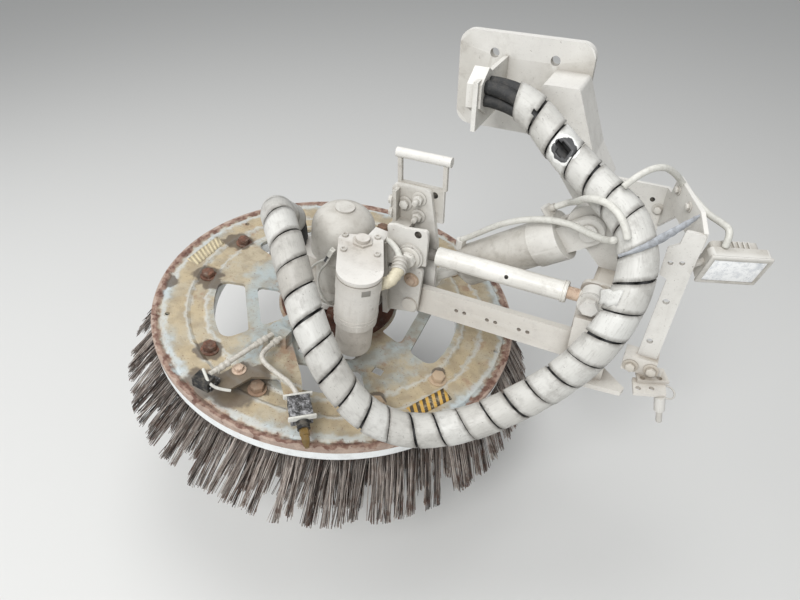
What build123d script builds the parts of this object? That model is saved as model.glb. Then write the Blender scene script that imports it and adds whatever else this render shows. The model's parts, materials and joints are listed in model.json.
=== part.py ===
"""Side broom unit of a street sweeper: pylon, parallel arms, tilting drive head and round wire broom.

Millimetres. +X is forwards along the vehicle, +Y inboard, +Z up. The origin is the centre of the
mounting plate's back face, which bolts against the chassis rail and faces +Y.
"""
from build123d import *
import os
from math import atan2, cos, degrees, pi, radians, sin, tan

os.makedirs("parts", exist_ok=True)

# broom disc
hub_x = -225.0
hub_y = -180.0
hub_z = -345.0
lean = 7.5
disc_radius = 300.0
sheet = 5.0
segments = 5
bolt_circle = 229.0
bolt_pair = 27.5
bolt_hole_radius = 6.5
window_inner = 100.0
window_outer = 205.0
window_half_angle = 20.0
bar_inner = 133.0
bar_outer = 153.0
window_corner = 8.0
window_far_corner = 16.0
lip_drop = 4.0
locating_hole = 16.0
small_holes = ((-209.0, -179.5), (276.0, 33.0), (-255.0, 88.0))
first_window = 4.0
hub_radius = 46.0
hub_height = 10.0
shaft_radius = 14.0

# bristles
ring_height = 18.0
ring_inner = 205.0
ring_inset = 2.0
# each row of tufts: its root's distance in from the rim, its tip's reach beyond the rim and its tip's drop
tuft_rows = ((12.0, 50.0, 118.0), (38.0, 18.0, 120.0), (64.0, -16.0, 121.0))
tuft_counts = (46, 42, 38)
tuft_radius = 8.5
tuft_sides = 5

# parallel arms, in a plane across the broom's axis
pivot_out = 142.0
arm_length = 259.0
arm_drop = 2.0
pivot_gap = 89.0
lower_pivot = 54.0
bar_depth = 48.0
bar_thick = 10.0
bar_rise = 4.0
rod_radius = 14.0
eye_radius = 17.0
eye_width = 20.0
pin_radius = 8.0
pin_washer = 17.0
running_gap = 0.05
cheek = 8.0
cheek_gap = 4.0

# mounting plate and pylon
plate_width = 190.0
plate_height = 135.0
plate_thick = 12.0
plate_corner = 20.0
mount_across = 86.0
mount_up = 80.0
mount_hole_radius = 6.75
pylon_wall = 6.0
pylon_front = 104.0
carrier_left = 382.0
carrier_right = 440.0
carrier_top = 157.0
carrier_bottom = 20.0

# air cylinder
cylinder_x = 373.6
cylinder_y = 60.0
cylinder_z = 213.7
barrel_radius = 32.0
barrel_start = 40.0
barrel_end = 214.0
piston_rod_radius = 10.0
rod_inside = 92.0
cylinder_pin_radius = 8.0
lug_radius = 33.0
lug_thick = 12.0
rod_eye_radius = 15.0
rod_eye_slack = 3.0

# drive and tilt
tilt_y = 50.0
tilt_up = 55.0
tilt_pin_radius = 8.0
motor_radius = 40.0
motor_base = 30.0
cover_radius = 49.0
cover_base = 104.0
cover_shoulder = 150.0
cover_top = 188.0
cover_flat = 17.0
can_x = 88.0
can_y = -112.0
can_radius = 31.0
can_bottom = 35.0
can_groove = 93.0
spindle_x = 57.0
spindle_y = -53.0
spindle_radius = 15.0
spindle_bottom = 82.0
gear_bottom = 154.0
gear_seam = 176.0
gear_top = 184.0
gear_width = 64.0
gear_back = 78.0
gear_corner = 13.0
plug_x = 61.7
plug_y = -57.2

# head bracket, as seen from outside: corners of its back cheek and of its two front plates
web_x = 97.0
web_thick = 8.0
web_top = 158.0
front_plate_gap = 11.0
front_plate = 6.0
ledge_height = 178.0
back_cheek = ((97.0, 26.0), (166.0, 26.0), (170.0, 150.0), (157.0, 236.0), (97.0, 236.0))
upper_plate = ((105.0, 120.0), (166.0, 131.0), (168.0, 176.0), (167.0, 191.0), (134.0, 187.0), (117.0, 189.0),
               (105.0, 186.0))
lower_plate = ((98.0, 30.0), (153.0, 40.0), (163.0, 127.0), (103.0, 114.0))
frame_x = 138.0
frame_z = 211.0
frame_width = 72.0
frame_height = 54.0
frame_tube_z = 280.0
frame_tube_radius = 7.0

# water spray
spray_height = 16.0
pipe_height = 40.0
pipe_radius = 3.7
spray_outline_points = (
    (-28.0, -46.0), (4.0, -46.0), (-17.0, -125.0), (46.0, -188.0), (94.0, -250.0), (84.0, -269.0), (25.0, -210.0),
    (-9.0, -229.0), (-20.0, -260.0), (-35.0, -269.0), (-51.0, -258.0), (-38.0, -212.0), (-27.0, -186.0),
    (-47.0, -129.0))
manifold = (-15.0, -152.0)
left_holder = (-46.0, -274.0)
front_holder = (88.0, -257.0)

# lamp bracket
leg_x = 489.0
leg_y = -20.0
leg_bottom = 62.0
leg_points = ((15.0, 280.0), (-7.0, 280.0), (-9.0, 262.0), (-20.0, 254.0), (-20.0, 217.0), (-10.0, 213.0),
              (-15.0, 62.0), (10.0, 62.0), (13.0, 226.0))
leg_holes = ((0.0, 239.0, 3.0), (-12.0, 236.0, 3.0), (-2.5, 181.0, 4.0), (-5.0, 115.0, 4.0))
bracket_wall = 5.0
bracket_fold = 453.0
bracket_left = 385.0
bracket_low = 205.0
bracket_top = 270.0
bracket_side = ((0.0, 212.0), (0.0, 270.0), (14.0, 270.0), (22.0, 297.0), (105.0, 295.0), (129.0, 281.0),
                (129.0, 256.0), (45.0, 254.0))
lamp_x = 546.0
lamp_y = 7.0
lamp_z = 228.0
lamp_width = 72.0
lamp_height = 48.0
lamp_depth = 30.0

# hoses
bundle_radius = 23.0
air_hose_radius = 4.5
lamp_lead_radius = 4.0


hub = Vector(hub_x, hub_y, hub_z)
along = Vector(cos(radians(lean)), 0, -sin(radians(lean)))
up = Vector(sin(radians(lean)), 0, cos(radians(lean)))
spin_axis = Axis(hub, up)


def at(x, y, z):
    """A point given from the middle of the broom's rim plane, along the vehicle's axes."""
    return hub + Vector(x, y, z)


def over_disc(height, x=0.0, y=0.0, turn=0.0):
    """A plane parallel to the disc, at a height above its rim, turned by degrees about the broom's axis."""
    turned_x = along * cos(radians(turn)) + Vector(0, 1, 0) * sin(radians(turn))
    return Plane(origin=hub + along * x + Vector(0, y, 0) + up * height, x_dir=turned_x, z_dir=up)


def side(y):
    """An upright plane along the vehicle, seen from outside, at a depth from the broom's axis."""
    return Plane(origin=at(0, y, 0), x_dir=(1, 0, 0), z_dir=(0, -1, 0))


def level(z):
    """A flat plane at a height above the rim's middle."""
    return Plane(origin=at(0, 0, z), x_dir=(1, 0, 0), z_dir=(0, 0, 1))


def save(piece, name):
    piece.label = name
    export_step(piece, "parts/" + name + ".step")


def turned(outline):
    """A solid turned about the broom's axis from (radius, height) corners."""
    with BuildPart() as body:
        with BuildSketch(Plane(origin=hub, x_dir=along, z_dir=(0, -1, 0))):
            with BuildLine():
                Polyline(*outline, close=True)
            make_face()
        revolve(axis=spin_axis)
    return body.part


def round_bar(start, end, radius):
    """A straight round bar between two points."""
    with BuildPart() as body:
        with BuildSketch(Plane(origin=start, z_dir=end - start)):
            Circle(radius)
        extrude(amount=(end - start).length)
    return body.part


# broom disc: pressed sheet with a hub flange, five spokes, and a bar across each window
with BuildPart() as broom_disc:
    add(turned([(shaft_radius, -sheet), (disc_radius - 84, -sheet), (disc_radius - 78, -sheet - 3),
                (disc_radius - 60, -sheet - 3), (disc_radius - 54, -sheet), (disc_radius - 18, -sheet),
                (disc_radius - 12, -sheet - lip_drop), (disc_radius, -sheet - lip_drop), (disc_radius, 0),
                (disc_radius - 7, 0), (disc_radius - 13, -3), (disc_radius - 16, 0), (disc_radius - 54, 0),
                (disc_radius - 59, -3), (disc_radius - 78, -3), (disc_radius - 83, 0), (shaft_radius, 0)]))
    half = radians(window_half_angle)
    for window in range(segments):
        with BuildSketch(over_disc(2, turn=first_window + 360.0 / segments * window)) as windows:
            for near, far, far_is_round in ((window_inner, bar_inner, False), (bar_outer, window_outer, True)):
                low = (near * cos(half), near * sin(half)) if not far_is_round else (near, near * tan(half))
                high = (far * cos(half), far * sin(half)) if far_is_round else (far, far * tan(half))
                with BuildLine():
                    Line(low, high)
                    if far_is_round:
                        ThreePointArc(high, (far, 0), (high[0], -high[1]))
                    else:
                        Line(high, (high[0], -high[1]))
                    Line((high[0], -high[1]), (low[0], -low[1]))
                    if far_is_round:
                        Line((low[0], -low[1]), low)
                    else:
                        ThreePointArc((low[0], -low[1]), (near, 0), low)
                make_face()
            near_limit = bar_outer / cos(half) + 1
            fillet([v for v in windows.vertices() if v.center().length < near_limit], radius=window_corner)
            fillet([v for v in windows.vertices() if v.center().length > window_outer - 0.1],
                   radius=window_far_corner)
        extrude(amount=-2 - sheet - 4, mode=Mode.SUBTRACT)
    with BuildSketch(over_disc(2)):
        for pair in range(segments):
            middle = first_window + 360.0 / segments * (pair + 0.5)
            for turn in (middle - bolt_pair / 2, middle + bolt_pair / 2):
                with Locations((bolt_circle * cos(radians(turn)), bolt_circle * sin(radians(turn)))):
                    Circle(bolt_hole_radius)
        with Locations((132, -106)):
            Rectangle(locating_hole, locating_hole)
        with Locations(*small_holes):
            Circle(4)
    extrude(amount=-2 - sheet - 4, mode=Mode.SUBTRACT)
save(broom_disc.part, "broom_disc")

hub_flange = turned([(shaft_radius, 0), (96, 0), (96, 3), (hub_radius + 6, 3),
                     (hub_radius, hub_height), (shaft_radius, hub_height)])
save(hub_flange, "hub_flange")

ring_top = -sheet - lip_drop
ring_bottom = ring_top - ring_height
ring_seat = -sheet - 3.0
backing_ring = turned([(ring_inner, ring_bottom), (disc_radius - ring_inset, ring_bottom),
                       (disc_radius - ring_inset, ring_top),
                       (disc_radius - 17, ring_top), (disc_radius - 17, ring_seat), (ring_inner, ring_seat)])
save(backing_ring, "backing_ring")

with BuildPart() as bristles:
    add(turned([(ring_inner + 12, ring_bottom - 5), (disc_radius - 6, ring_bottom - 5),
                (disc_radius - 6, ring_bottom), (ring_inner + 12, ring_bottom)]))
    tufts = []
    for (inset, reach, drop), count in zip(tuft_rows, tuft_counts):
        start = hub + along * (disc_radius - inset) + up * (ring_bottom - 5.2)
        end = hub + along * (disc_radius + reach) - up * drop
        with BuildPart(mode=Mode.PRIVATE) as tuft:
            with BuildSketch(Plane(origin=start, z_dir=end - start)):
                RegularPolygon(tuft_radius, tuft_sides)
            extrude(amount=(end - start).length)
        tufts += [tuft.part.rotate(spin_axis, 360.0 / count * k) for k in range(count)]
    add(tufts)
save(bristles.part, "bristles")

# parallel arms
lower_left = (pivot_out, lower_pivot)
lower_right = (pivot_out + arm_length, lower_pivot - arm_drop)
upper_left = (pivot_out, lower_pivot + pivot_gap)
upper_right = (pivot_out + arm_length, lower_pivot + pivot_gap - arm_drop)

with BuildPart() as lower_bar:
    with BuildSketch(side(0)):
        middle_x = (lower_left[0] + lower_right[0]) / 2
        middle_z = (lower_left[1] + lower_right[1]) / 2 + bar_rise
        with Locations((middle_x, middle_z)):
            RectangleRounded(arm_length + bar_depth * 0.9, bar_depth, 9)
        with Locations(lower_left, lower_right):
            Circle(pin_radius + running_gap, mode=Mode.SUBTRACT)
        for step in (0.20, 0.25, 0.39, 0.44, 0.58, 0.63):
            with Locations((lower_left[0] + arm_length * step + 20, middle_z - 1)):
                Circle(3.2, mode=Mode.SUBTRACT)
    extrude(amount=bar_thick / 2, both=True)
save(lower_bar.part, "lower_bar")

with BuildPart() as upper_rod:
    with BuildSketch(side(0)):
        with Locations(upper_left, upper_right):
            Circle(eye_radius)
    extrude(amount=eye_width / 2, both=True)
    with BuildSketch(Plane(origin=at(upper_left[0], 0, upper_left[1]), z_dir=(arm_length, 0, -arm_drop))):
        Circle(8)
    extrude(amount=arm_length)
    with BuildSketch(Plane(origin=at(upper_left[0] + 36, 0, upper_left[1] - arm_drop * 0.14),
                           z_dir=(arm_length, 0, -arm_drop))):
        Circle(rod_radius)
    extrude(amount=arm_length - 72)
    with BuildSketch(side(0)):
        with Locations(upper_left, upper_right):
            Circle(pin_radius + running_gap)
    extrude(amount=eye_width, both=True, mode=Mode.SUBTRACT)
save(upper_rod.part, "upper_rod")


def pivot_pin(x, z, front, back, washer=pin_washer, headed=True):
    """A pin with a washer towards the outside, and on most a hexagon head."""
    with BuildPart() as pin:
        with BuildSketch(side(-front)):
            with Locations((x, z)):
                Circle(pin_radius)
        extrude(amount=-(front + back))
        with BuildSketch(side(-front)):
            with Locations((x, z)):
                Circle(washer)
        extrude(amount=4)
        if headed:
            with BuildSketch(side(-front - 4)):
                with Locations((x, z)):
                    RegularPolygon(pin_radius * 1.55, 6)
            extrude(amount=9)
    return pin.part


save(pivot_pin(*upper_left, front_plate_gap + front_plate, eye_width / 2 + cheek_gap + cheek, pin_washer + 3),
     "upper_left_pin")
save(pivot_pin(*upper_right, eye_width / 2 + 1, eye_width / 2 + cheek_gap + cheek), "upper_right_pin")
front_cheek = bar_thick / 2 + 7
save(pivot_pin(*lower_right, front_cheek + 6, eye_width / 2 + cheek_gap + cheek), "lower_right_pin")

# mounting plate, flat against the chassis rail
plate_face = Plane(origin=(0, 0, 0), x_dir=(1, 0, 0), z_dir=(0, -1, 0))
with BuildPart() as mounting_plate:
    with BuildSketch(plate_face):
        RectangleRounded(plate_width, plate_height, plate_corner)
        with GridLocations(mount_across, mount_up, 2, 2):
            Circle(mount_hole_radius, mode=Mode.SUBTRACT)
    extrude(amount=plate_thick)
    with BuildSketch(plate_face.offset(plate_thick)):
        with Locations((0, -10)):
            SlotOverall(plate_width * 0.62, 16)
    extrude(amount=4)
save(mounting_plate.part, "mounting_plate")

# pylon: folded channel, open to the back, from the plate down to the pivot carrier
plate_front = -hub_y - plate_thick
pylon_outline = ((266, 374), (318, 374), (352, 289), (430, 170), (446, 145), (446, 12), (392, 12), (392, 150),
                 (300, 270))
with BuildPart() as pylon:
    with BuildSketch(side(pylon_front)) as outline:
        with BuildLine():
            Polyline(*pylon_outline, close=True)
        make_face()
        fillet(outline.vertices(), radius=6)
    extrude(amount=-(plate_front - pylon_front))
    with BuildSketch(side(pylon_front + pylon_wall)) as hollow:
        with BuildLine():
            Polyline(*pylon_outline, close=True)
        make_face()
        offset(amount=-pylon_wall, kind=Kind.INTERSECTION)
    extrude(amount=-(plate_front - pylon_front), mode=Mode.SUBTRACT)
    with BuildSketch(side(plate_front)):
        with BuildLine():
            Polyline((260, 250), (470, 250), (470, 0), (260, 0), close=True)
        make_face()
    extrude(amount=plate_front - pylon_front - 30, mode=Mode.SUBTRACT)
    add(mounting_plate.part, mode=Mode.SUBTRACT)
save(pylon.part, "pylon")

# pivot carrier: plate behind the arms, side wall and front cheek over the lower pivot
carrier_front = eye_width / 2 + cheek_gap
box_left = carrier_left + 12.0
with BuildPart() as pivot_carrier:
    with BuildSketch(side(carrier_front)):
        with Locations(((carrier_left + carrier_right) / 2, (carrier_top + carrier_bottom) / 2)):
            RectangleRounded(carrier_right - carrier_left, carrier_top - carrier_bottom, 12)
    extrude(amount=-cheek)
    with BuildSketch(side(carrier_front + cheek)):
        with Locations(((box_left + carrier_right) / 2, (carrier_top + carrier_bottom) / 2)):
            RectangleRounded(carrier_right - box_left, carrier_top - carrier_bottom, 6)
            Rectangle(carrier_right - box_left - 14, carrier_top - carrier_bottom - 14, mode=Mode.SUBTRACT)
    extrude(amount=-(pylon_front - carrier_front - cheek))
    with BuildSketch(side(carrier_front)):
        with Locations((carrier_right - 4, (118 + carrier_bottom) / 2)):
            Rectangle(8, 118 - carrier_bottom)
    extrude(amount=carrier_front + front_cheek + 6)
    with BuildSketch(side(-front_cheek)):
        with Locations(((carrier_left + carrier_right) / 2 + 2, (118 + carrier_bottom) / 2)):
            RectangleRounded(carrier_right - carrier_left - 4, 118 - carrier_bottom, 3)
    extrude(amount=6)
    with BuildSketch(side(-60)):
        with Locations(upper_right, lower_right):
            Circle(pin_radius + running_gap)
    extrude(amount=-60 - carrier_front - cheek - 1, mode=Mode.SUBTRACT)
save(pivot_carrier.part, "pivot_carrier")

with BuildPart() as stop_plate:
    with BuildSketch(level(carrier_bottom - 8)):
        with BuildLine():
            Polyline((carrier_left + 24, -25), (carrier_left + 33, 0), (carrier_right, 10),
                     (carrier_right + 33, -18), (carrier_right + 30, -28), (carrier_left + 30, -33), close=True)
        make_face()
    extrude(amount=8)
save(stop_plate.part, "stop_plate")

# air cylinder between a lug on the carrier and the lower left pin
cylinder_pin = (cylinder_x, cylinder_z)
reach = Vector(lower_left[0] - cylinder_x, 0, lower_left[1] - cylinder_z)
reach_length = reach.length
toward = reach.normalized()

with BuildPart() as cylinder_lug:
    with BuildSketch(side(cylinder_y - lug_thick / 2)):
        with Locations(cylinder_pin):
            Circle(lug_radius)
        with BuildLine():
            Polyline((cylinder_x, cylinder_z - lug_radius), (cylinder_x + lug_radius, cylinder_z),
                     (carrier_right - 6, carrier_top), (box_left + 2, carrier_top), close=True)
        make_face()
        with Locations(cylinder_pin):
            Circle(cylinder_pin_radius + running_gap, mode=Mode.SUBTRACT)
    extrude(amount=-lug_thick)
save(cylinder_lug.part, "cylinder_lug")


def down_barrel(distance):
    """A plane across the cylinder, a distance from its fixed pin towards the rod's eye."""
    return Plane(origin=at(cylinder_x, cylinder_y, cylinder_z) + toward * distance, z_dir=toward,
                 x_dir=(0, 1, 0))


ear_gap = lug_thick / 2 + 1.5
ear_thick = 11.0
with BuildPart() as cylinder_barrel:
    with BuildSketch(down_barrel(barrel_start)):
        Circle(barrel_radius)
    extrude(amount=barrel_end - barrel_start)
    with BuildSketch(down_barrel(barrel_start)):
        Circle(barrel_radius + 3)
    extrude(amount=42)
    chamfer(cylinder_barrel.faces().sort_by(Axis(at(cylinder_x, cylinder_y, cylinder_z), toward))[-1].edges(),
            length=9)
    with BuildSketch(side(cylinder_y)):
        with Locations(cylinder_pin):
            Circle(20)
            with Locations(Rotation(0, 0, degrees(atan2(toward.Z, toward.X)))):
                with Locations((22, 0)):
                    Rectangle(44, 40)
    extrude(amount=ear_gap + ear_thick, both=True)
    with BuildSketch(side(cylinder_y)):
        with Locations(cylinder_pin):
            Circle(lug_radius + 4)
    extrude(amount=ear_gap, both=True, mode=Mode.SUBTRACT)
    with BuildSketch(side(cylinder_y)):
        with Locations(cylinder_pin):
            Circle(cylinder_pin_radius + running_gap)
    extrude(amount=40, both=True, mode=Mode.SUBTRACT)
    with BuildSketch(down_barrel(barrel_end - rod_inside - 4)):
        Circle(piston_rod_radius + running_gap)
    extrude(amount=rod_inside + 8, mode=Mode.SUBTRACT)
save(cylinder_barrel.part, "cylinder_barrel")

with BuildPart() as cylinder_pin_piece:
    with BuildSketch(side(cylinder_y)):
        with Locations(cylinder_pin):
            Circle(cylinder_pin_radius)
    extrude(amount=ear_gap + ear_thick + 5, both=True)
    with BuildSketch(side(cylinder_y - ear_gap - ear_thick - 1)):
        with Locations(cylinder_pin):
            Circle(cylinder_pin_radius + 4)
    extrude(amount=4)
save(cylinder_pin_piece.part, "cylinder_pin")

eye_bore = pin_radius + rod_eye_slack
with BuildPart() as piston_rod:
    with BuildSketch(down_barrel(barrel_end - rod_inside)):
        Circle(piston_rod_radius)
    extrude(amount=reach_length - barrel_end + rod_inside)
    with BuildSketch(side(cylinder_y)):
        with Locations(lower_left):
            Circle(rod_eye_radius + rod_eye_slack)
    extrude(amount=9, both=True)
    with BuildSketch(side(cylinder_y)):
        with Locations(lower_left):
            Circle(eye_bore)
    extrude(amount=20, both=True, mode=Mode.SUBTRACT)
save(piston_rod.part, "piston_rod")

# head bracket: cheek behind the arms, webs across, a ledge and two front plates
with BuildPart() as head_bracket:
    with BuildSketch(side(carrier_front)) as cheek_outline:
        with BuildLine():
            Polyline(*back_cheek, close=True)
        make_face()
        fillet(cheek_outline.vertices(), radius=8)
    extrude(amount=-cheek)
    with BuildSketch(side(-front_cheek - 12)):
        with Locations((web_x + web_thick / 2, (web_top + 26) / 2)):
            Rectangle(web_thick, web_top - 26)
    extrude(amount=-(front_cheek + 12 + carrier_front))
    with BuildSketch(side(0)):
        with Locations((web_x + 10, 193)):
            Rectangle(6, 78)
    extrude(amount=-carrier_front)
    with BuildSketch(side(-front_plate_gap - front_plate)):
        with Locations((web_x + 22, ledge_height + 3)):
            Rectangle(29, 6)
    extrude(amount=-(front_plate_gap + front_plate + carrier_front))
    with BuildSketch(side(-front_plate_gap)) as upper_outline:
        with BuildLine():
            Polyline(*upper_plate, close=True)
        make_face()
        fillet(upper_outline.vertices().sort_by(Axis.X)[-2:], radius=5)
    extrude(amount=front_plate)
    with BuildSketch(side(-front_cheek)) as lower_outline:
        with BuildLine():
            Polyline(*lower_plate, close=True)
        make_face()
        fillet(lower_outline.vertices(), radius=8)
    extrude(amount=6)
    with BuildSketch(side(-60)):
        with Locations(upper_left, lower_left):
            Circle(pin_radius + running_gap)
    extrude(amount=-60 - carrier_front - cheek - 1, mode=Mode.SUBTRACT)
save(head_bracket.part, "head_bracket")
save(pivot_pin(*lower_left, front_cheek + 6, cylinder_y + 12, pin_radius + 4, headed=False), "lower_left_pin")

# upper frame with its cross tube
frame_y = carrier_front + cheek
post_bottom = frame_z + frame_height / 2 - 2
with BuildPart() as upper_frame:
    with BuildSketch(side(frame_y)):
        with Locations((frame_x, frame_z)):
            Rectangle(frame_width, frame_height)
        for post_x in (frame_x - frame_width / 2 + 3, frame_x + frame_width / 2):
            with Locations((post_x, (post_bottom + frame_tube_z) / 2)):
                Rectangle(6, frame_tube_z - post_bottom)
    extrude(amount=-6)
    with BuildSketch(Plane(origin=at(frame_x - 38, frame_y + 3, frame_tube_z), z_dir=(1, 0, 0))):
        Circle(frame_tube_radius)
    extrude(amount=82)
save(upper_frame.part, "upper_frame")

# tilt arm carries the tilt pin behind the drive
tilt_arm_x = 73.0
with BuildPart() as tilt_arm:
    with BuildSketch(Plane(origin=hub + along * tilt_arm_x, x_dir=(0, 1, 0), z_dir=along)) as arm_outline:
        with BuildLine():
            Polyline((-20, 40), (tilt_y + 22, 40), (tilt_y + 22, tilt_up + 20), (24, 120), (-20, 120), close=True)
        make_face()
        fillet(arm_outline.vertices(), radius=8)
    extrude(amount=9)
    with BuildSketch(Plane(origin=hub + along * tilt_arm_x, x_dir=(0, 1, 0), z_dir=along)):
        with Locations((0, 87)):
            Rectangle(36, 46)
    extrude(amount=17.5)
    add(head_bracket.part, mode=Mode.SUBTRACT)
    with BuildSketch(Plane(origin=hub + along * (tilt_arm_x + 1) + Vector(0, tilt_y, 0) + up * tilt_up,
                           x_dir=(0, 1, 0), z_dir=along)):
        Circle(tilt_pin_radius)
    extrude(amount=-28)
save(tilt_arm.part, "tilt_arm")

# drive: motor body with lugs, cover and ports
with BuildPart() as drive_housing:
    add(turned([(0, motor_base), (62, motor_base), (62, motor_base + 10), (motor_radius, motor_base + 16),
                (motor_radius, cover_base), (0, cover_base)]))
    add(turned([(0, hub_height + 1), (30, hub_height + 1), (30, motor_base), (0, motor_base)]))
    with BuildSketch(Plane(origin=hub + along * 48, x_dir=(0, 1, 0), z_dir=along)):
        with BuildLine():
            Polyline((tilt_y - 14, tilt_up - 15), (tilt_y, tilt_up - 18), (tilt_y + 16, tilt_up - 8),
                     (tilt_y + 16, tilt_up + 8), (tilt_y, tilt_up + 18), (tilt_y - 30, tilt_up + 20),
                     (tilt_y - 30, tilt_up - 20), close=True)
        make_face()
    extrude(amount=20)
    with BuildSketch(Plane(origin=hub + along * 20, x_dir=(0, 1, 0), z_dir=along)):
        with Locations((24, tilt_up)):
            Rectangle(16, 36)
    extrude(amount=48)
    with BuildSketch(Plane(origin=hub + along * 40, x_dir=(0, 1, 0), z_dir=along)):
        with Locations((tilt_y, tilt_up)):
            Circle(tilt_pin_radius + running_gap)
    extrude(amount=60, mode=Mode.SUBTRACT)
save(drive_housing.part, "drive_housing")

with BuildPart() as drive_cover:
    with BuildSketch(Plane(origin=hub, x_dir=along, z_dir=(0, -1, 0))):
        with BuildLine():
            EllipticalCenterArc((cover_flat, cover_shoulder), cover_radius - cover_flat,
                                cover_top - 4 - cover_shoulder, start_angle=0, arc_size=90)
            Polyline((cover_flat, cover_top - 4), (cover_flat - 2, cover_top - 3), (cover_flat - 2, cover_top),
                     (0, cover_top), (0, cover_base), (cover_radius - 4, cover_base),
                     (cover_radius, cover_base + 6), (cover_radius, cover_shoulder))
        make_face()
    revolve(axis=spin_axis)
save(drive_cover.part, "drive_cover")

with BuildPart() as port_block:
    with BuildSketch(over_disc(motor_base, -86, 30)):
        Rectangle(86, 50)
    extrude(amount=32)
    add(drive_housing.part, mode=Mode.SUBTRACT)
save(port_block.part, "port_block")

# tilt actuator: gear case, motor can and spindle tube
case_turn = degrees(atan2(can_y - spindle_y, can_x - spindle_x))
with BuildPart() as gear_case:
    for bottom, top, inset in ((gear_bottom, gear_seam, 0.0), (gear_seam, gear_seam + 2, 1.5),
                               (gear_seam + 2, gear_top, 0.0)):
        with BuildSketch(over_disc(bottom, can_x, can_y)):
            with Locations(Rotation(0, 0, case_turn)):
                with BuildSketch(mode=Mode.PRIVATE) as case_outline:
                    Circle(gear_width / 2 - inset)
                    with Locations((-gear_back / 2, 0)):
                        Rectangle(gear_back - 2 * inset, gear_width - 2 * inset)
                    fillet(case_outline.vertices().sort_by(Axis.X)[:2], radius=gear_corner)
                add(case_outline.sketch)
        extrude(amount=top - bottom)
    with BuildSketch(over_disc(gear_top, plug_x, plug_y)):
        RegularPolygon(15, 6)
    extrude(amount=3)
    with BuildSketch(over_disc(gear_top + 3, plug_x, plug_y)):
        Circle(10)
    extrude(amount=5)
save(gear_case.part, "gear_case")

with BuildPart() as motor_can:
    with BuildSketch(over_disc(can_bottom, can_x, can_y)):
        Circle(can_radius - 4)
    extrude(amount=gear_bottom - can_bottom)
    fillet(motor_can.faces().sort_by(spin_axis)[0].edges(), radius=9)
    with BuildSketch(over_disc(can_groove, can_x, can_y)):
        Circle(can_radius)
    extrude(amount=gear_bottom - can_groove)
save(motor_can.part, "motor_can")

with BuildPart() as spindle_tube:
    with BuildSketch(over_disc(spindle_bottom, spindle_x, spindle_y)):
        Circle(spindle_radius)
    extrude(amount=gear_bottom - spindle_bottom)
    with BuildSketch(over_disc(spindle_bottom - 1, spindle_x, spindle_y)):
        Circle(8 + running_gap)
    extrude(amount=gear_bottom - spindle_bottom - 6, mode=Mode.SUBTRACT)
save(spindle_tube.part, "spindle_tube")

with BuildPart() as actuator_bracket:
    with BuildSketch(over_disc(gear_bottom + 2, web_x - 29, -20)):
        Rectangle(25, 34)
    extrude(amount=20)
    add(gear_case.part, mode=Mode.SUBTRACT)
    add(head_bracket.part, mode=Mode.SUBTRACT)
save(actuator_bracket.part, "actuator_bracket")

with BuildPart() as tilt_rod:
    with BuildSketch(over_disc(tilt_up, spindle_x, spindle_y)):
        Circle(8)
    extrude(amount=60)
    with BuildSketch(Plane(origin=hub + along * (spindle_x - 7) + Vector(0, spindle_y, 0) + up * tilt_up,
                           x_dir=(0, 1, 0), z_dir=along)):
        Circle(14)
    extrude(amount=14)
    with BuildSketch(Plane(origin=hub + along * (spindle_x - 20) + Vector(0, spindle_y, 0) + up * tilt_up,
                           x_dir=(0, 1, 0), z_dir=along)):
        Circle(8)
    extrude(amount=40, mode=Mode.SUBTRACT)
save(tilt_rod.part, "tilt_rod")

with BuildPart() as tilt_lug:
    with BuildSketch(over_disc(motor_base, 44, -48)):
        Rectangle(56, 40)
    extrude(amount=8)
    for x in (spindle_x - 16, spindle_x + 10):
        with BuildSketch(Plane(origin=hub + along * x + Vector(0, spindle_y, 0), x_dir=(0, 1, 0), z_dir=along)):
            with Locations((0, tilt_up)):
                Circle(11)
            with Locations((0, (motor_base + tilt_up) / 2)):
                Rectangle(22, tilt_up - motor_base)
        extrude(amount=6)
    with BuildSketch(Plane(origin=hub + along * (spindle_x - 16) + Vector(0, spindle_y, 0) + up * tilt_up,
                           x_dir=(0, 1, 0), z_dir=along)):
        Circle(5.5)
    extrude(amount=32)
    add(drive_housing.part, mode=Mode.SUBTRACT)
save(tilt_lug.part, "tilt_lug")

# water spray: plate, manifold, pipes and nozzles
with BuildPart() as spray_plate:
    with BuildSketch(over_disc(spray_height)) as spray_outline:
        with BuildLine():
            Polyline(*spray_outline_points, close=True)
        make_face()
        fillet(spray_outline.vertices(), radius=4)
    extrude(amount=4)
    with BuildSketch(over_disc(spray_height)):
        with Locations((-10, -48)):
            Rectangle(28, 28)
    extrude(amount=motor_base - spray_height)
    with BuildSketch(over_disc(spray_height + 4, *manifold)):
        Rectangle(32, 16)
    extrude(amount=pipe_height + 7 - spray_height - 4)
save(spray_plate.part, "spray_plate")


def above_disc(x, y, height):
    """A point at a height above the disc's rim."""
    return hub + along * x + Vector(0, y, 0) + up * height


with BuildPart() as left_nozzle:
    with BuildSketch(over_disc(spray_height + 4, *left_holder)):
        Rectangle(32, 26)
    extrude(amount=26)
    add(round_bar(above_disc(manifold[0] - 7, manifold[1] - 6, pipe_height),
                  above_disc(left_holder[0] - 3, left_holder[1] + 8, pipe_height), pipe_radius))
    add(spray_plate.part, mode=Mode.SUBTRACT)
save(left_nozzle.part, "left_nozzle")

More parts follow.
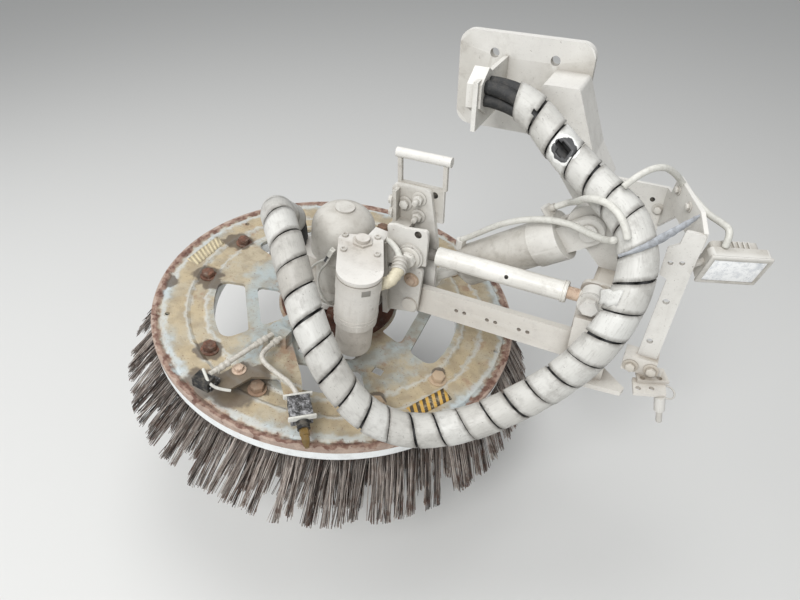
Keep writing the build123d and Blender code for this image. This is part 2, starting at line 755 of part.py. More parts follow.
with BuildPart() as front_nozzle:
    with BuildSketch(over_disc(spray_height + 4, *front_holder, turn=-28)):
        Rectangle(36, 34)
    extrude(amount=26)
    with BuildLine() as pipe_path:
        FilletPolyline(above_disc(manifold[0] + 8, manifold[1] - 6, pipe_height),
                       above_disc(-15, -204, pipe_height), above_disc(57, -227, pipe_height),
                       above_disc(front_holder[0] - 10, front_holder[1] + 14, pipe_height), radius=12)
    with BuildSketch(Plane(origin=pipe_path.wires()[0] @ 0, z_dir=pipe_path.wires()[0] % 0)):
        Circle(pipe_radius)
    sweep(path=pipe_path.wires()[0])
    add(round_bar(above_disc(front_holder[0] + 12, front_holder[1] - 10, pipe_height - 4),
                  above_disc(front_holder[0] + 37, front_holder[1] - 45, pipe_height - 12), 6))
    add(spray_plate.part, mode=Mode.SUBTRACT)
save(front_nozzle.part, "front_nozzle")

# lamp, its folded bracket, leg and foot
lamp_face = Plane(origin=at(lamp_x, lamp_y, lamp_z), x_dir=(0.914, 0.402, -0.049), z_dir=(0.374, -0.885, -0.278))
with BuildPart() as lamp_housing:
    with BuildSketch(lamp_face):
        RectangleRounded(lamp_width, lamp_height, 6)
    extrude(amount=-lamp_depth * 0.5)
    with BuildSketch(lamp_face.offset(-lamp_depth * 0.5)):
        RectangleRounded(lamp_width - 16, lamp_height - 12, 5)
    extrude(amount=-lamp_depth * 0.5)
save(lamp_housing.part, "lamp_housing")

fold_y = pylon_front - bracket_wall / 2
side_way = Vector(leg_x + 15 - bracket_fold, leg_y - fold_y, 0).normalized()
with BuildPart() as lamp_bracket:
    with BuildSketch(side(pylon_front - bracket_wall)):
        with Locations(((bracket_fold + bracket_left) / 2, (bracket_top + bracket_low) / 2)):
            Rectangle(bracket_fold - bracket_left, bracket_top - bracket_low)
    extrude(amount=-bracket_wall)
    with BuildSketch(Plane(origin=at(bracket_fold, fold_y, 0), x_dir=side_way,
                           z_dir=(side_way.Y, -side_way.X, 0))):
        with BuildLine():
            Polyline(*bracket_side, close=True)
        make_face()
    extrude(amount=bracket_wall / 2, both=True)
save(lamp_bracket.part, "lamp_bracket")

with BuildPart() as lamp_leg:
    with BuildSketch(side(leg_y)) as leg_outline:
        with BuildLine():
            Polyline(*[(leg_x + x, z) for x, z in leg_points], close=True)
        make_face()
        fillet(leg_outline.vertices().sort_by(Axis.Y)[2:], radius=3)
        for x, z, radius in leg_holes:
            with Locations((leg_x + x, z)):
                Circle(radius, mode=Mode.SUBTRACT)
    extrude(amount=-bracket_wall)
    add(round_bar(at(leg_x + 8, leg_y + 3, lamp_z + 8), at(lamp_x - 34, lamp_y - 5, lamp_z + 8), 4))
    add(lamp_housing.part, mode=Mode.SUBTRACT)
    add(lamp_bracket.part, mode=Mode.SUBTRACT)
save(lamp_leg.part, "lamp_leg")

with BuildPart() as foot_plates:
    with BuildSketch(level(leg_bottom - 5)):
        with BuildLine():
            Polyline((leg_x - 13, leg_y + 12), (leg_x + 24, leg_y + 17), (leg_x + 34, leg_y - 5),
                     (leg_x - 4, leg_y - 20), close=True)
        make_face()
        with Locations((leg_x + 1, leg_y - 13), (leg_x + 21, leg_y - 4)):
            Circle(3.5, mode=Mode.SUBTRACT)
    extrude(amount=5)
    with BuildSketch(level(leg_bottom - 10)):
        with BuildLine():
            Polyline((leg_x - 11, leg_y - 12), (leg_x + 29, leg_y + 2), (leg_x + 34, leg_y - 26),
                     (leg_x - 5, leg_y - 40), close=True)
        make_face()
        with Locations((leg_x - 1, leg_y - 29), (leg_x + 15, leg_y - 22)):
            Circle(3.5, mode=Mode.SUBTRACT)
    extrude(amount=5)
    with BuildSketch(level(leg_bottom)):
        with Locations((leg_x - 8, leg_y + 4)):
            Rectangle(42, 22)
    extrude(amount=26)
    add(lamp_leg.part, mode=Mode.SUBTRACT)
save(foot_plates.part, "foot_plates")

pin_top = at(leg_x + 27, leg_y - 26, leg_bottom - 10)
pin_way = Vector(10, 0, -44).normalized()
with BuildPart() as foot_pin:
    add(round_bar(pin_top, pin_top + pin_way * 24, 7))
    add(round_bar(pin_top, pin_top + pin_way * 45, 4))
    add(foot_plates.part, mode=Mode.SUBTRACT)
save(foot_pin.part, "foot_pin")

# hoses: routes as corner points, rounded by the largest arcs that their runs allow
with BuildPart() as hose_entry:
    with BuildSketch(side(plate_front)):
        with Locations((200, 352)):
            Rectangle(6, 64)
    extrude(amount=124)
    with BuildSketch(Plane(origin=at(186, 76, 364), z_dir=(1, 0, 0))):
        RegularPolygon(30, 6)
    extrude(amount=20)
    add(mounting_plate.part, mode=Mode.SUBTRACT)
save(hose_entry.part, "hose_entry")


def hose(name, points, radius):
    """A round hose along its corner points; prints its length and smallest bend."""
    corners = [at(*point) for point in points]
    radii = []
    for before, corner, after in zip(corners, corners[1:], corners[2:]):
        first, second = corner - before, after - corner
        turn = radians(first.get_angle(second))
        radii.append(0.45 * min(first.length, second.length) / tan(turn / 2))
    with BuildPart() as tube:
        with BuildLine() as path:
            FilletPolyline(*corners, radius=radii)
        route = path.wires()[0]
        with BuildSketch(Plane(origin=route @ 0, z_dir=route % 0)):
            Circle(radius)
        sweep(path=route)
    length = route.length
    print(name, "length", round(length), "least bend", round(min(radii)), "volume ratio",
          round(tube.part.volume / (pi * radius ** 2 * length), 4))
    save(tube.part, name)


bundle_route = (
    (206, 76, 364), (256, 76, 364), (318, 50, 317), (375, 25, 290), (428, -16, 272), (449, -48, 228),
    (438, -84, 165), (404, -112, 102), (346, -142, 44), (296, -174, 14), (236, -206, 4), (182, -228, 26),
    (136, -228, 74), (96, -210, 122), (58, -180, 166), (22, -146, 206), (-22, -104, 224), (-88, -12, 152),
    (-89.3, 30, 118.7), (-95, 30, 75.1))
first_split = (375, -127, 73)
second_split = (77, -195, 144)
hose("hose_upper", bundle_route[:8] + (first_split,), bundle_radius)
hose("hose_loop", (first_split,) + bundle_route[8:14] + (second_split,), bundle_radius)
hose("hose_end", (second_split,) + bundle_route[14:], bundle_radius)

air_hose_cap = ((321.3, 60, 229.9), (337.7, 60, 241.2), (346, 41, 253), (354.5, 8, 273), (371, -20, 296),
                (397, -36, 303), (420, -50, 289), (425.5, -54.5, 274))
air_hose_rod = ((191.4, 60, 140.8), (193, 60, 157.5), (216, 56, 178), (252, 46, 204), (300, 36, 224),
                (348, 20, 234), (386, -8, 240), (406, -32, 252), (411, -43.5, 262))
lamp_lead = ((404, 0, 308), (417, 14, 324), (438, 28, 334), (455, 45, 325), (468, 64, 308), (482, 62, 293),
             (500, 42, 285), (514, 22, 287), (526, 10, 282), (527.6, 7.4, 256))
hose("air_hose_cap", air_hose_cap, air_hose_radius)
hose("air_hose_rod", air_hose_rod, air_hose_radius)
hose("lamp_lead", lamp_lead, lamp_lead_radius)

across = Vector(toward.Z, 0, -toward.X)
cap_foot = at(cylinder_x, cylinder_y, cylinder_z) + toward * 46 + across * (barrel_radius + 2)
rod_foot = at(cylinder_x, cylinder_y, cylinder_z) + toward * (barrel_end - 12) + across * (barrel_radius - 1)
with BuildPart() as cylinder_fittings:
    with BuildSketch(Plane(origin=cap_foot, z_dir=across)):
        RegularPolygon(8, 6)
    extrude(amount=15)
    with BuildSketch(Plane(origin=cap_foot + across * 9, z_dir=-toward)):
        Circle(5.5)
    extrude(amount=12)
    with BuildSketch(Plane(origin=rod_foot, z_dir=(0.094, 0, 0.996))):
        RegularPolygon(8, 6)
    extrude(amount=16)
    add(cylinder_barrel.part, mode=Mode.SUBTRACT)
save(cylinder_fittings.part, "cylinder_fittings")
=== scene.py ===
"""Looks of a street sweeper's side broom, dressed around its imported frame.

Metres. The origin is the centre of the mounting plate's back face, +X forwards, +Y inboard, +Z up.
"""
import bpy
import json
import math
import random
from mathutils import Euler, Matrix, Vector, noise


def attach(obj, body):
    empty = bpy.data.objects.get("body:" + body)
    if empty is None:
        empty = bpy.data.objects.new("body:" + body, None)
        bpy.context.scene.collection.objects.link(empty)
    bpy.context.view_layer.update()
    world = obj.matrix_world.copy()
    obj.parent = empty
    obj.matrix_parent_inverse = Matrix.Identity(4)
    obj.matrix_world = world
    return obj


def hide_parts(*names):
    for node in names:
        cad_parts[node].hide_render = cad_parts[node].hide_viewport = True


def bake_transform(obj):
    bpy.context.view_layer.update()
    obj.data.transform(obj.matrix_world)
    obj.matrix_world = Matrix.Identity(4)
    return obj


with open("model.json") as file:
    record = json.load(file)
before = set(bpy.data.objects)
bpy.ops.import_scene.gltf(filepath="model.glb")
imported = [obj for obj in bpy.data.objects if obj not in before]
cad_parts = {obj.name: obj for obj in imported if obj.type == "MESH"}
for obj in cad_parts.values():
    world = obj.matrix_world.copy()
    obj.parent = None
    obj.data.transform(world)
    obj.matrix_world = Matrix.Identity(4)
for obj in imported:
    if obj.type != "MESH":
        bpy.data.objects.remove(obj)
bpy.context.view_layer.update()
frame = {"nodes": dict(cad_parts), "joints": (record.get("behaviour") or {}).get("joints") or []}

bl_info = {
    "name": "Side Broom Dresser",
    "version": (1, 0, 0),
    "blender": (4, 5, 0),
    "location": "View3D > Sidebar > Side Broom",
    "description": "Dresses a street sweeper's side broom with finishes, wires, hoses, bolts and trim",
    "category": "Object",
}

MM = 0.001
METRE_MM = 1000
spin = next(joint for joint in frame["joints"] if joint["name"] == "broom_spin")
HUB = Vector(spin["pos_m"])
UP = Vector(spin["axis"]).normalized()
ACROSS = Vector((0, 1, 0))
OUTWARD = Vector((0, -1, 0))
ALONG = ACROSS.cross(UP)
LEAN = math.atan2(UP.x, UP.z)
NODES = frame["nodes"]


def at(x, y, z):
    """A point given in millimetres from the middle of the broom's rim plane."""
    return HUB + Vector((x, y, z)) * MM


def on_disc(x, y, height):
    """A point over the disc: millimetres along it, across it and above its rim."""
    return HUB + (ALONG * x + ACROSS * y + UP * height) * MM


def polar(radius, degrees, height):
    """A point over the disc from its radius and its angle round the broom's axis."""
    turn = math.radians(degrees)
    return on_disc(radius * math.cos(turn), radius * math.sin(turn), height)


class SideBroomSizes(bpy.types.PropertyGroup):
    """Sizes that a user may change."""
    wires_per_tuft: bpy.props.IntProperty(
        name="Wires per tuft", description="Steel wires in each tuft", default=76, min=8, max=78)
    wire_width: bpy.props.FloatProperty(
        name="Wire width", description="Width of one flat wire", default=0.0015, min=0.0005,
        subtype="DISTANCE")
    guard_pitch: bpy.props.FloatProperty(
        name="Guard pitch", description="Length of one turn of the hose guard", default=0.036, min=0.01,
        subtype="DISTANCE")
    guard_gap: bpy.props.FloatProperty(
        name="Guard gap", description="Gap between two turns of the hose guard", default=0.0024, min=0.0005,
        subtype="DISTANCE")


class SideBroomColours(bpy.types.PropertyGroup):
    """Colours that a user may change, as sRGB hex values."""
    paint: bpy.props.StringProperty(name="Paint", description="Pale overspray paint", default="#C9C6BF")
    grime: bpy.props.StringProperty(name="Grime", description="Road film on the paint", default="#857D71")
    disc: bpy.props.StringProperty(name="Disc", description="Blue grey of the bare disc", default="#AAB4B5")
    tan: bpy.props.StringProperty(name="Tan film", description="Dried mud on the disc", default="#B9A888")
    rust: bpy.props.StringProperty(name="Rust", description="Rust", default="#6A4434")
    guard: bpy.props.StringProperty(name="Guard", description="Hose guard", default="#D8D8D4")


# small helpers

def linear(code):
    """An sRGB hex colour as linear red, green, blue and alpha."""
    parts = [int(code[i:i + 2], 16) / 255 for i in (1, 3, 5)]
    return tuple([c / 12.92 if c <= 0.04045 else ((c + 0.055) / 1.055) ** 2.4 for c in parts] + [1.0])


def only(*pieces):
    """Selects these pieces alone, the first one active."""
    bpy.ops.object.select_all(action="DESELECT")
    for piece in pieces:
        piece.select_set(True)
    bpy.context.view_layer.objects.active = pieces[0]


def facing(point, axis, turn=0.0, size=1.0):
    """The matrix that stands a template on a point with its Z along an axis."""
    stand = Vector(axis).to_track_quat("Z", "Y").to_matrix().to_4x4()
    return Matrix.Translation(point) @ stand @ Matrix.Rotation(turn, 4, "Z") @ Matrix.Scale(size, 4)


def joined(name, pieces):
    """Joins pieces into the first one, under one name."""
    only(*pieces)
    if len(pieces) > 1:
        bpy.ops.object.join()
    made = bpy.context.view_layer.objects.active
    made.name = made.data.name = name
    return made


def copies(template, places, name):
    """Copies of a template at these matrices, as one piece."""
    made = []
    for place in places:
        copy = template.copy()
        copy.data = template.data.copy()
        copy.data.transform(place)
        bpy.context.collection.objects.link(copy)
        made.append(copy)
    return joined(name, made)


def discard(*pieces):
    for piece in pieces:
        bpy.data.objects.remove(piece)


def seated(piece, body, material):
    """Applies a piece's place to its mesh, gives it its material and lets it ride on a body."""
    only(piece)
    bpy.ops.object.transform_apply(location=True, rotation=True, scale=True)
    piece.data.materials.clear()
    piece.data.materials.append(material)
    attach(piece, body)
    return piece


def apply_modifier(piece, kind, **settings):
    """Adds one modifier with its settings and applies it."""
    only(piece)
    modifier = piece.modifiers.new(kind.lower(), kind)
    for key, value in settings.items():
        setattr(modifier, key, value)
    bpy.ops.object.modifier_apply(modifier=modifier.name)


def on_face(node, point, axis):
    """Where a ray from in front of a point lands on a node's face, with the face's normal."""
    axis = Vector(axis).normalized()
    in_front = 18 * MM
    struck, place, normal, _ = NODES[node].ray_cast(point + axis * in_front, -axis)
    if not struck:
        raise ValueError("nothing of " + node + " lies behind " + str(tuple(point)))
    return place, normal


def edit(piece):
    """Opens a piece in edit mode with all of it selected."""
    only(piece)
    bpy.ops.object.mode_set(mode="EDIT")
    bpy.ops.mesh.select_all(action="SELECT")


def done_editing():
    bpy.ops.object.mode_set(mode="OBJECT")


def sunk(piece, chosen, margin, move):
    """Insets the faces that pass a test by a margin and moves what lies inside it."""
    edit(piece)
    bpy.ops.mesh.select_mode(type="FACE")
    bpy.ops.mesh.select_all(action="DESELECT")
    done_editing()
    for face in piece.data.polygons:
        face.select = chosen(face)
    bpy.ops.object.mode_set(mode="EDIT")
    bpy.ops.mesh.inset(thickness=margin)
    bpy.ops.mesh.extrude_region_move(TRANSFORM_OT_translate={"value": tuple(move)})
    done_editing()


def bevelled(piece, width, segments=2):
    apply_modifier(piece, "BEVEL", width=width, segments=segments, limit_method="ANGLE")


def smoothed(piece, degrees=35):
    """Applies a piece's place to its mesh and shades it smooth up to an angle."""
    only(piece)
    bpy.ops.object.transform_apply(location=True, rotation=True, scale=True)
    bpy.ops.object.shade_smooth_by_angle(angle=math.radians(degrees))


def attributes(piece, kind, values):
    """Stores named values on a piece's points: one number each, or three in a row for a vector."""
    for key, numbers in values.items():
        piece.data.attributes.new(key, kind, "POINT").data.foreach_set(
            "vector" if kind == "FLOAT_VECTOR" else "value", numbers)


# materials

SMOOTH = [("interpolation_type", "SMOOTHSTEP")]
BUMP_STRENGTH = 0.6


def add_node(tree, kind, settings=(), links=()):
    """One shader node with its settings, and its sockets linked or set."""
    made = tree.nodes.new(kind)
    for key, value in settings:
        setattr(made, key, value)
    for socket, source in links:
        if isinstance(source, bpy.types.NodeSocket):
            tree.links.new(source, made.inputs[socket])
        else:
            made.inputs[socket].default_value = source
    return made


def new_material(name):
    """A material with its shader and output joined, and the coordinates of the piece it is on."""
    material = bpy.data.materials.new(name)
    material.use_nodes = True
    tree = material.node_tree
    tree.nodes.clear()
    shader = add_node(tree, "ShaderNodeBsdfPrincipled")
    add_node(tree, "ShaderNodeOutputMaterial", links=[("Surface", shader.outputs["BSDF"])])
    where = add_node(tree, "ShaderNodeTexCoord").outputs["Object"]
    return material, tree, shader, where


def spots(tree, where, size_mm, low, high, detail=4.0, rough=0.6):
    """A noise mask of a real patch size, from 0 below low to 1 above high."""
    cloud = add_node(tree, "ShaderNodeTexNoise", links=[
        ("Vector", where), ("Scale", METRE_MM / size_mm), ("Detail", detail), ("Roughness", rough)])
    mask = add_node(tree, "ShaderNodeMapRange", SMOOTH, [
        ("Value", cloud.outputs["Fac"]), ("From Min", low), ("From Max", high)])
    return mask.outputs["Result"]


def layered(tree, base, *coats):
    """Coats over a base colour; each is its colour, then the masks and shares that together show it."""
    colour = linear(base)
    for coat, showing, *others in coats:
        for other in others:
            product = add_node(tree, "ShaderNodeMath", [("operation", "MULTIPLY"), ("use_clamp", True)], [
                (0, showing), (1, other)])
            showing = product.outputs[0]
        if isinstance(coat, str):
            coat = linear(coat)
        mix = add_node(tree, "ShaderNodeMix", [("data_type", "RGBA")], [(0, showing), (6, colour), (7, coat)])
        colour = mix.outputs[2]
    return colour


def surfaced(tree, shader, colour, roughness, heights=(), metallic=0.0):
    """Gives the shader its colour, how rough and metallic it is, and its bumps.

    The roughness is a value, or a mask and the two values that it runs between. Each bump is a height and
    its depth in millimetres.
    """
    tree.links.new(colour, shader.inputs["Base Color"])
    shader.inputs["Metallic"].default_value = metallic
    if isinstance(roughness, tuple):
        mask, clear, covered = roughness
        varied = add_node(tree, "ShaderNodeMapRange", links=[
            ("Value", mask), ("To Min", clear), ("To Max", covered)])
        tree.links.new(varied.outputs["Result"], shader.inputs["Roughness"])
    else:
        shader.inputs["Roughness"].default_value = roughness
    under = []
    for height, depth_mm in heights:
        bump = add_node(tree, "ShaderNodeBump", links=[
            ("Height", height), ("Strength", BUMP_STRENGTH), ("Distance", depth_mm * MM)] + under)
        under = [("Normal", bump.outputs["Normal"])]
    for socket, normal in under:
        tree.links.new(normal, shader.inputs[socket])


def wavering(tree, where, size_mm, detail, width_mm):
    """A noise in metres that swings half a width either way, for ragged borders."""
    cloud = add_node(tree, "ShaderNodeTexNoise", links=[
        ("Vector", where), ("Scale", METRE_MM / size_mm), ("Detail", detail)])
    swing = add_node(tree, "ShaderNodeMath", [("operation", "MULTIPLY_ADD")], [
        (0, cloud.outputs["Fac"]), (1, width_mm * MM), (2, -width_mm / 2 * MM)])
    return swing.outputs[0]


def ragged_distance(tree, where, point, swing):
    """The distance from a point in metres, with a swing added that makes its borders ragged."""
    apart = add_node(tree, "ShaderNodeVectorMath", [("operation", "DISTANCE")], [(0, where), (1, point)])
    ragged = add_node(tree, "ShaderNodeMath", [("operation", "ADD")], [
        (0, apart.outputs["Value"]), (1, swing)])
    return ragged.outputs[0]


def sprayed_steel(name, paint, grime, chip, dirt=0.55, chips=0.66, rough=0.62):
    """Steel sprayed over with thin matt paint: cloudy coat, grit in it, grime and painted shade in corners,
    small chips.
    """
    material, tree, shader, where = new_material(name)
    cloudy = spots(tree, where, 60, 0.4, 0.7)
    film = spots(tree, where, 20, 0.48, 0.72, detail=9.0, rough=0.7)
    flecks = spots(tree, where, 2.4, 0.64, 0.7, detail=2.0)
    chipped = spots(tree, where, 9, chips, chips + 0.03, detail=6.0, rough=0.7)
    # the grime colour darkens corners by how closed in they are: painted shade, with some grime; dirt sets
    # its share
    corner = add_node(tree, "ShaderNodeAmbientOcclusion", [("samples", 6)], [("Distance", 28 * MM)])
    grime_and_corner_shade = add_node(tree, "ShaderNodeMapRange", links=[
        ("Value", corner.outputs["AO"]), ("From Min", 0.9), ("From Max", 0.35), ("To Max", dirt)])
    # lighter along sharp edges, by the mesh's pointiness
    worn = add_node(tree, "ShaderNodeNewGeometry").outputs["Pointiness"]
    edges = add_node(tree, "ShaderNodeMapRange", links=[
        ("Value", worn), ("From Min", 0.53), ("From Max", 0.6), ("To Max", 0.5)])
    colour = layered(
        tree, paint, (grime, cloudy, 0.3), (grime, film, 0.42), ("#F1F0EC", edges.outputs["Result"]),
        (chip, flecks, 0.22), (grime, grime_and_corner_shade.outputs["Result"]), (chip, chipped, 0.55))
    grit = spots(tree, where, 1.3, 0.3, 0.8, detail=2.0)
    sag = spots(tree, where, 14, 0.2, 0.9, detail=2.0)
    surfaced(tree, shader, colour, (film, rough - 0.1, rough + 0.2), [(sag, 0.5), (grit, 0.12)])
    return material


def rusted_steel(name, fresh, old, scale_mm=6.0, pale=None):
    """Bare steel gone to brown rust: dull, pitted, uneven in colour, paler where dust lies on it, and paler
    towards the front where a pale colour is given.
    """
    material, tree, shader, where = new_material(name)
    patch = spots(tree, where, scale_mm * 3, 0.35, 0.65, detail=6.0)
    pits = spots(tree, where, scale_mm * 0.4, 0.4, 0.7)
    dust = spots(tree, where, scale_mm * 1.5, 0.52, 0.7, detail=6.0)
    coats = [(old, patch), ("#2E211B", pits, 0.5), ("#A8998A", dust, 0.4)]
    if pale:
        # where a pale colour is given, the rust turns to it towards the front (+X)
        forward = add_node(tree, "ShaderNodeSeparateXYZ", links=[("Vector", where)]).outputs["X"]
        towards_front = add_node(tree, "ShaderNodeMapRange", links=[
            ("Value", forward), ("From Min", HUB.x - 0.06), ("From Max", HUB.x + 0.10), ("To Max", 0.85)])
        coats.append((pale, towards_front.outputs["Result"]))
    surfaced(tree, shader, layered(tree, fresh, *coats), 0.85, [(pits, 0.4), (dust, 0.2)])
    return material


def moulded_plastic(name, base, dirt, rough=0.5, dirt_size_mm=12.0, dirtiness=0.5):
    """Moulded plastic or rubber: even colour with scuffs and dried road film."""
    material, tree, shader, where = new_material(name)
    film = spots(tree, where, dirt_size_mm, 0.42, 0.75, detail=8.0, rough=0.7)
    scuffs = spots(tree, where, 1.8, 0.58, 0.66, detail=3.0)
    colour = layered(tree, base, (dirt, film, dirtiness), (dirt, scuffs, dirtiness * 0.5))
    surfaced(tree, shader, colour, (film, rough, min(0.95, rough + 0.3)), [(film, 0.15), (scuffs, 0.08)])
    return material


def wound_guard(name, base, dirt, tear):
    """Polyethylene spiral guard: turns in several greys, darker along their edges in patches, rubbed streaks,
    a scarred tear.
    """
    material, tree, shader, where = new_material(name)
    tone, edge, lie = [
        add_node(tree, "ShaderNodeAttribute", [("attribute_name", "guard_" + key)]).outputs[output]
        for key, output in (("tone", "Fac"), ("edge", "Fac"), ("lie", "Vector"))]
    streak = spots(tree, lie, METRE_MM / 420, 0.5, 0.72, detail=5.0, rough=0.7)
    film = spots(tree, where, 26, 0.45, 0.75, detail=8.0, rough=0.7)
    flecks = spots(tree, where, 3.0, 0.66, 0.72, detail=3.0)
    edge_patches = spots(tree, where, 12, 0.3, 0.6, detail=6.0)
    from_tear = ragged_distance(tree, where, tear, wavering(tree, where, METRE_MM / 70, 3.0, 16))
    scars = []
    for outer, inner, shade in ((19, 17.5, "#EDEDEA"), (15.5, 15, "#4B4B4C")):
        scar = add_node(tree, "ShaderNodeMapRange", links=[
            ("Value", from_tear), ("From Min", outer * MM), ("From Max", inner * MM)])
        scars.append((shade, scar.outputs["Result"]))
    # each turn darkens along its edges, in patches
    colour = layered(
        tree, "#A9A59D", (base, tone), (dirt, streak, 0.3), (dirt, film, 0.5),
        ("#6E6962", edge, edge_patches, 0.75), *scars, ("#5F5A54", flecks, 0.6))
    surfaced(tree, shader, colour, (streak, 0.42, 0.75), [(streak, 0.25), (film, 0.3)])
    return material


def between(tree, radius, inner, outer, soft):
    """The two masks that show a coat between two radii in millimetres, each fading over a soft edge."""
    masks = []
    for border, fade in ((inner, soft), (outer, -soft)):
        mask = add_node(tree, "ShaderNodeMapRange", SMOOTH, [
            ("Value", radius), ("From Min", (border - fade) * MM), ("From Max", (border + fade) * MM)])
        masks.append(mask.outputs["Result"])
    return masks


# where the disc's brown stains lie from its hub, along and across it, and how wide they are, in millimetres
disc_stains = (
    (-232, 38, 24), (-246, 30, 16), (-220, -70, 26), (-202, -82, 18), (-107, -205, 22), (-4, -225, 22),
    (-30, -245, 38), (-72, -262, 30), (-200, 118, 20), (-176, 128, 16), (155, -153, 12), (215, -60, 12),
    (60, -90, 34), (-262, -120, 18))
# inner and outer radii in millimetres of the pressed rings, which get painted highlights
pressed_rings = ((214, 219), (243, 248), (277, 286))


def stained_disc(name, base, tan, rust):
    """Pressed steel disc: blue grey sheet under tan film, rusted rim, wet brown stains round its bolts,
    painted highlights on its pressed rings.
    """
    material, tree, shader, place = new_material(name)
    turned = add_node(tree, "ShaderNodeMapping", [("vector_type", "TEXTURE")], [
        ("Vector", place), ("Location", HUB), ("Rotation", Euler((0, LEAN, 0)))])
    where = turned.outputs["Vector"]
    flattened = add_node(tree, "ShaderNodeVectorMath", [("operation", "MULTIPLY")], [
        (0, where), (1, (1, 1, 0))])
    flat = flattened.outputs[0]
    swing = wavering(tree, where, 16, 6.0, 26)
    radius = ragged_distance(tree, flat, (0, 0, 0), swing)
    cloudy = spots(tree, where, 80, 0.38, 0.56, detail=6.0)
    streaky = spots(tree, where, 26, 0.42, 0.62, detail=8.0)
    flecks = spots(tree, where, 3.2, 0.62, 0.68, detail=3.0)
    muddy = spots(tree, where, 48, 0.55, 0.66, detail=9.0, rough=0.7)
    halo = spots(tree, where, 40, 0.4, 0.6, detail=8.0)
    # pale blue white bands on the pressed rings: painted highlights along the pressed steps
    painted_ring_highlights = [("#CDD6D9", *between(tree, radius, inner, outer, 4), 0.55) for inner, outer in pressed_rings]
    soaked = 0.0
    for x, y, size in disc_stains:
        wet = add_node(tree, "ShaderNodeMapRange", SMOOTH, [
            ("Value", ragged_distance(tree, flat, (x * MM, y * MM, 0), swing)),
            ("From Min", size * 1.1 * MM), ("From Max", size * 0.85 * MM)])
        wettest = add_node(tree, "ShaderNodeMath", [("operation", "MAXIMUM"), ("use_clamp", True)], [
            (0, soaked), (1, wet.outputs["Result"])])
        soaked = wettest.outputs[0]
    scaly = spots(tree, where, 14, 0.4, 0.62, detail=8.0)
    rim_rust = layered(tree, "#6F4F43", ("#A08677", scaly), ("#3F2A22", flecks))
    colour = layered(
        tree, base, (tan, cloudy, 0.8), (tan, *between(tree, radius, 212, 272, 10), 0.75),
        (base, *between(tree, radius, 128, 158, 7), 0.7), ("#8F816C", streaky, 0.45), ("#9A7862", muddy, 0.6),
        *painted_ring_highlights, (rust, flecks, 0.75), ("#5B4639", *between(tree, radius, -50, 72, 9), 0.85),
        ("#8E6A58", *between(tree, radius, 62, 108, 14), halo, 0.75), ("#5F5448", soaked, 0.85),
        (rim_rust, *between(tree, radius, 288, 330, 3)),
        ("#C9B8AA", *between(tree, radius, 297.5, 330, 1), 0.5))
    grit = spots(tree, where, 2.0, 0.35, 0.8, detail=3.0)
    surfaced(tree, shader, colour, (soaked, 0.6, 0.4), [(streaky, 0.3), (grit, 0.15)])
    return material


def sprung_wire(name):
    """Hardened flat steel wire: dull brown grey, each wire its own shade, red rust towards some tips, painted
    shade darkening it towards its root.
    """
    material, tree, shader, where = new_material(name)
    shade, reach = [add_node(tree, "ShaderNodeAttribute", [("attribute_name", key)]).outputs["Fac"]
                    for key in ("wire_shade", "wire_reach")]
    rusty = spots(tree, where, 12, 0.46, 0.62)
    tipped, painted_root_shade = [
        add_node(tree, "ShaderNodeMapRange", links=[
            ("Value", reach), ("From Min", start), ("From Max", end), ("To Max", most)]).outputs["Result"]
        for start, end, most in ((0.6, 1.0, 0.75), (0.3, 0.0, 0.45))]
    # the wires darken towards their roots: painted shade among the packed wires under the disc
    colour = layered(tree, "#2E2724", ("#D8CDC4", shade), ("#6F5648", rusty, 0.35),
                     ("#6A4636", tipped, rusty), ("#2C2724", painted_root_shade))
    surfaced(tree, shader, colour, 0.55, metallic=0.3)
    return material


def plain(name, base, rough=0.6, metallic=0.0):
    """An even surface of a small part under a thin film of dust."""
    material, tree, shader, where = new_material(name)
    film = spots(tree, where, 8, 0.4, 0.7, detail=6.0)
    surfaced(tree, shader, layered(tree, base, ("#8F877A", film, 0.35)), rough, [(film, 0.1)], metallic)
    return material


def striped_sticker(name, light, dark, stripes, worn):
    """Printed vinyl: slanting stripes, faded, scratched and flecked with brown."""
    material, tree, shader, where = new_material(name)
    lie = add_node(tree, "ShaderNodeAttribute", [("attribute_name", "sticker_lie")]).outputs["Vector"]
    split = add_node(tree, "ShaderNodeSeparateXYZ", links=[("Vector", lie)])
    slant = add_node(tree, "ShaderNodeMath", [("operation", "MULTIPLY_ADD")], [
        (0, split.outputs["X"]), (1, stripes), (2, split.outputs["Y"])])
    share = add_node(tree, "ShaderNodeMath", [("operation", "FRACT")], [(0, slant.outputs[0])])
    stripe = add_node(tree, "ShaderNodeMapRange", links=[
        ("Value", share.outputs[0]), ("From Min", 0.46), ("From Max", 0.5)])
    scratched = spots(tree, where, 7, 0.5, 0.6, detail=8.0, rough=0.75)
    flecks = spots(tree, where, 2.2, 0.6, 0.68)
    colour = layered(tree, light, (dark, stripe.outputs["Result"]), ("#B9AC92", scratched, worn),
                     ("#7A6552", flecks, 0.6))
    surfaced(tree, shader, colour, 0.55)
    return material


FINISHES = {}

# the frame's pieces whose finish isn't the usual paint
node_finishes = {
    "disc": ("broom_disc", "spray_plate"),
    "can": ("motor_can", "gear_case"),
    "rust": ("hub_flange", "spindle_tube", "tilt_lug"),
    "ring": ("backing_ring",),
    "dusty": ("lower_bar", "stop_plate", "foot_plates", "pivot_carrier", "port_block", "lower_left_pin"),
    "rod_paint": ("upper_rod", "piston_rod"),
}


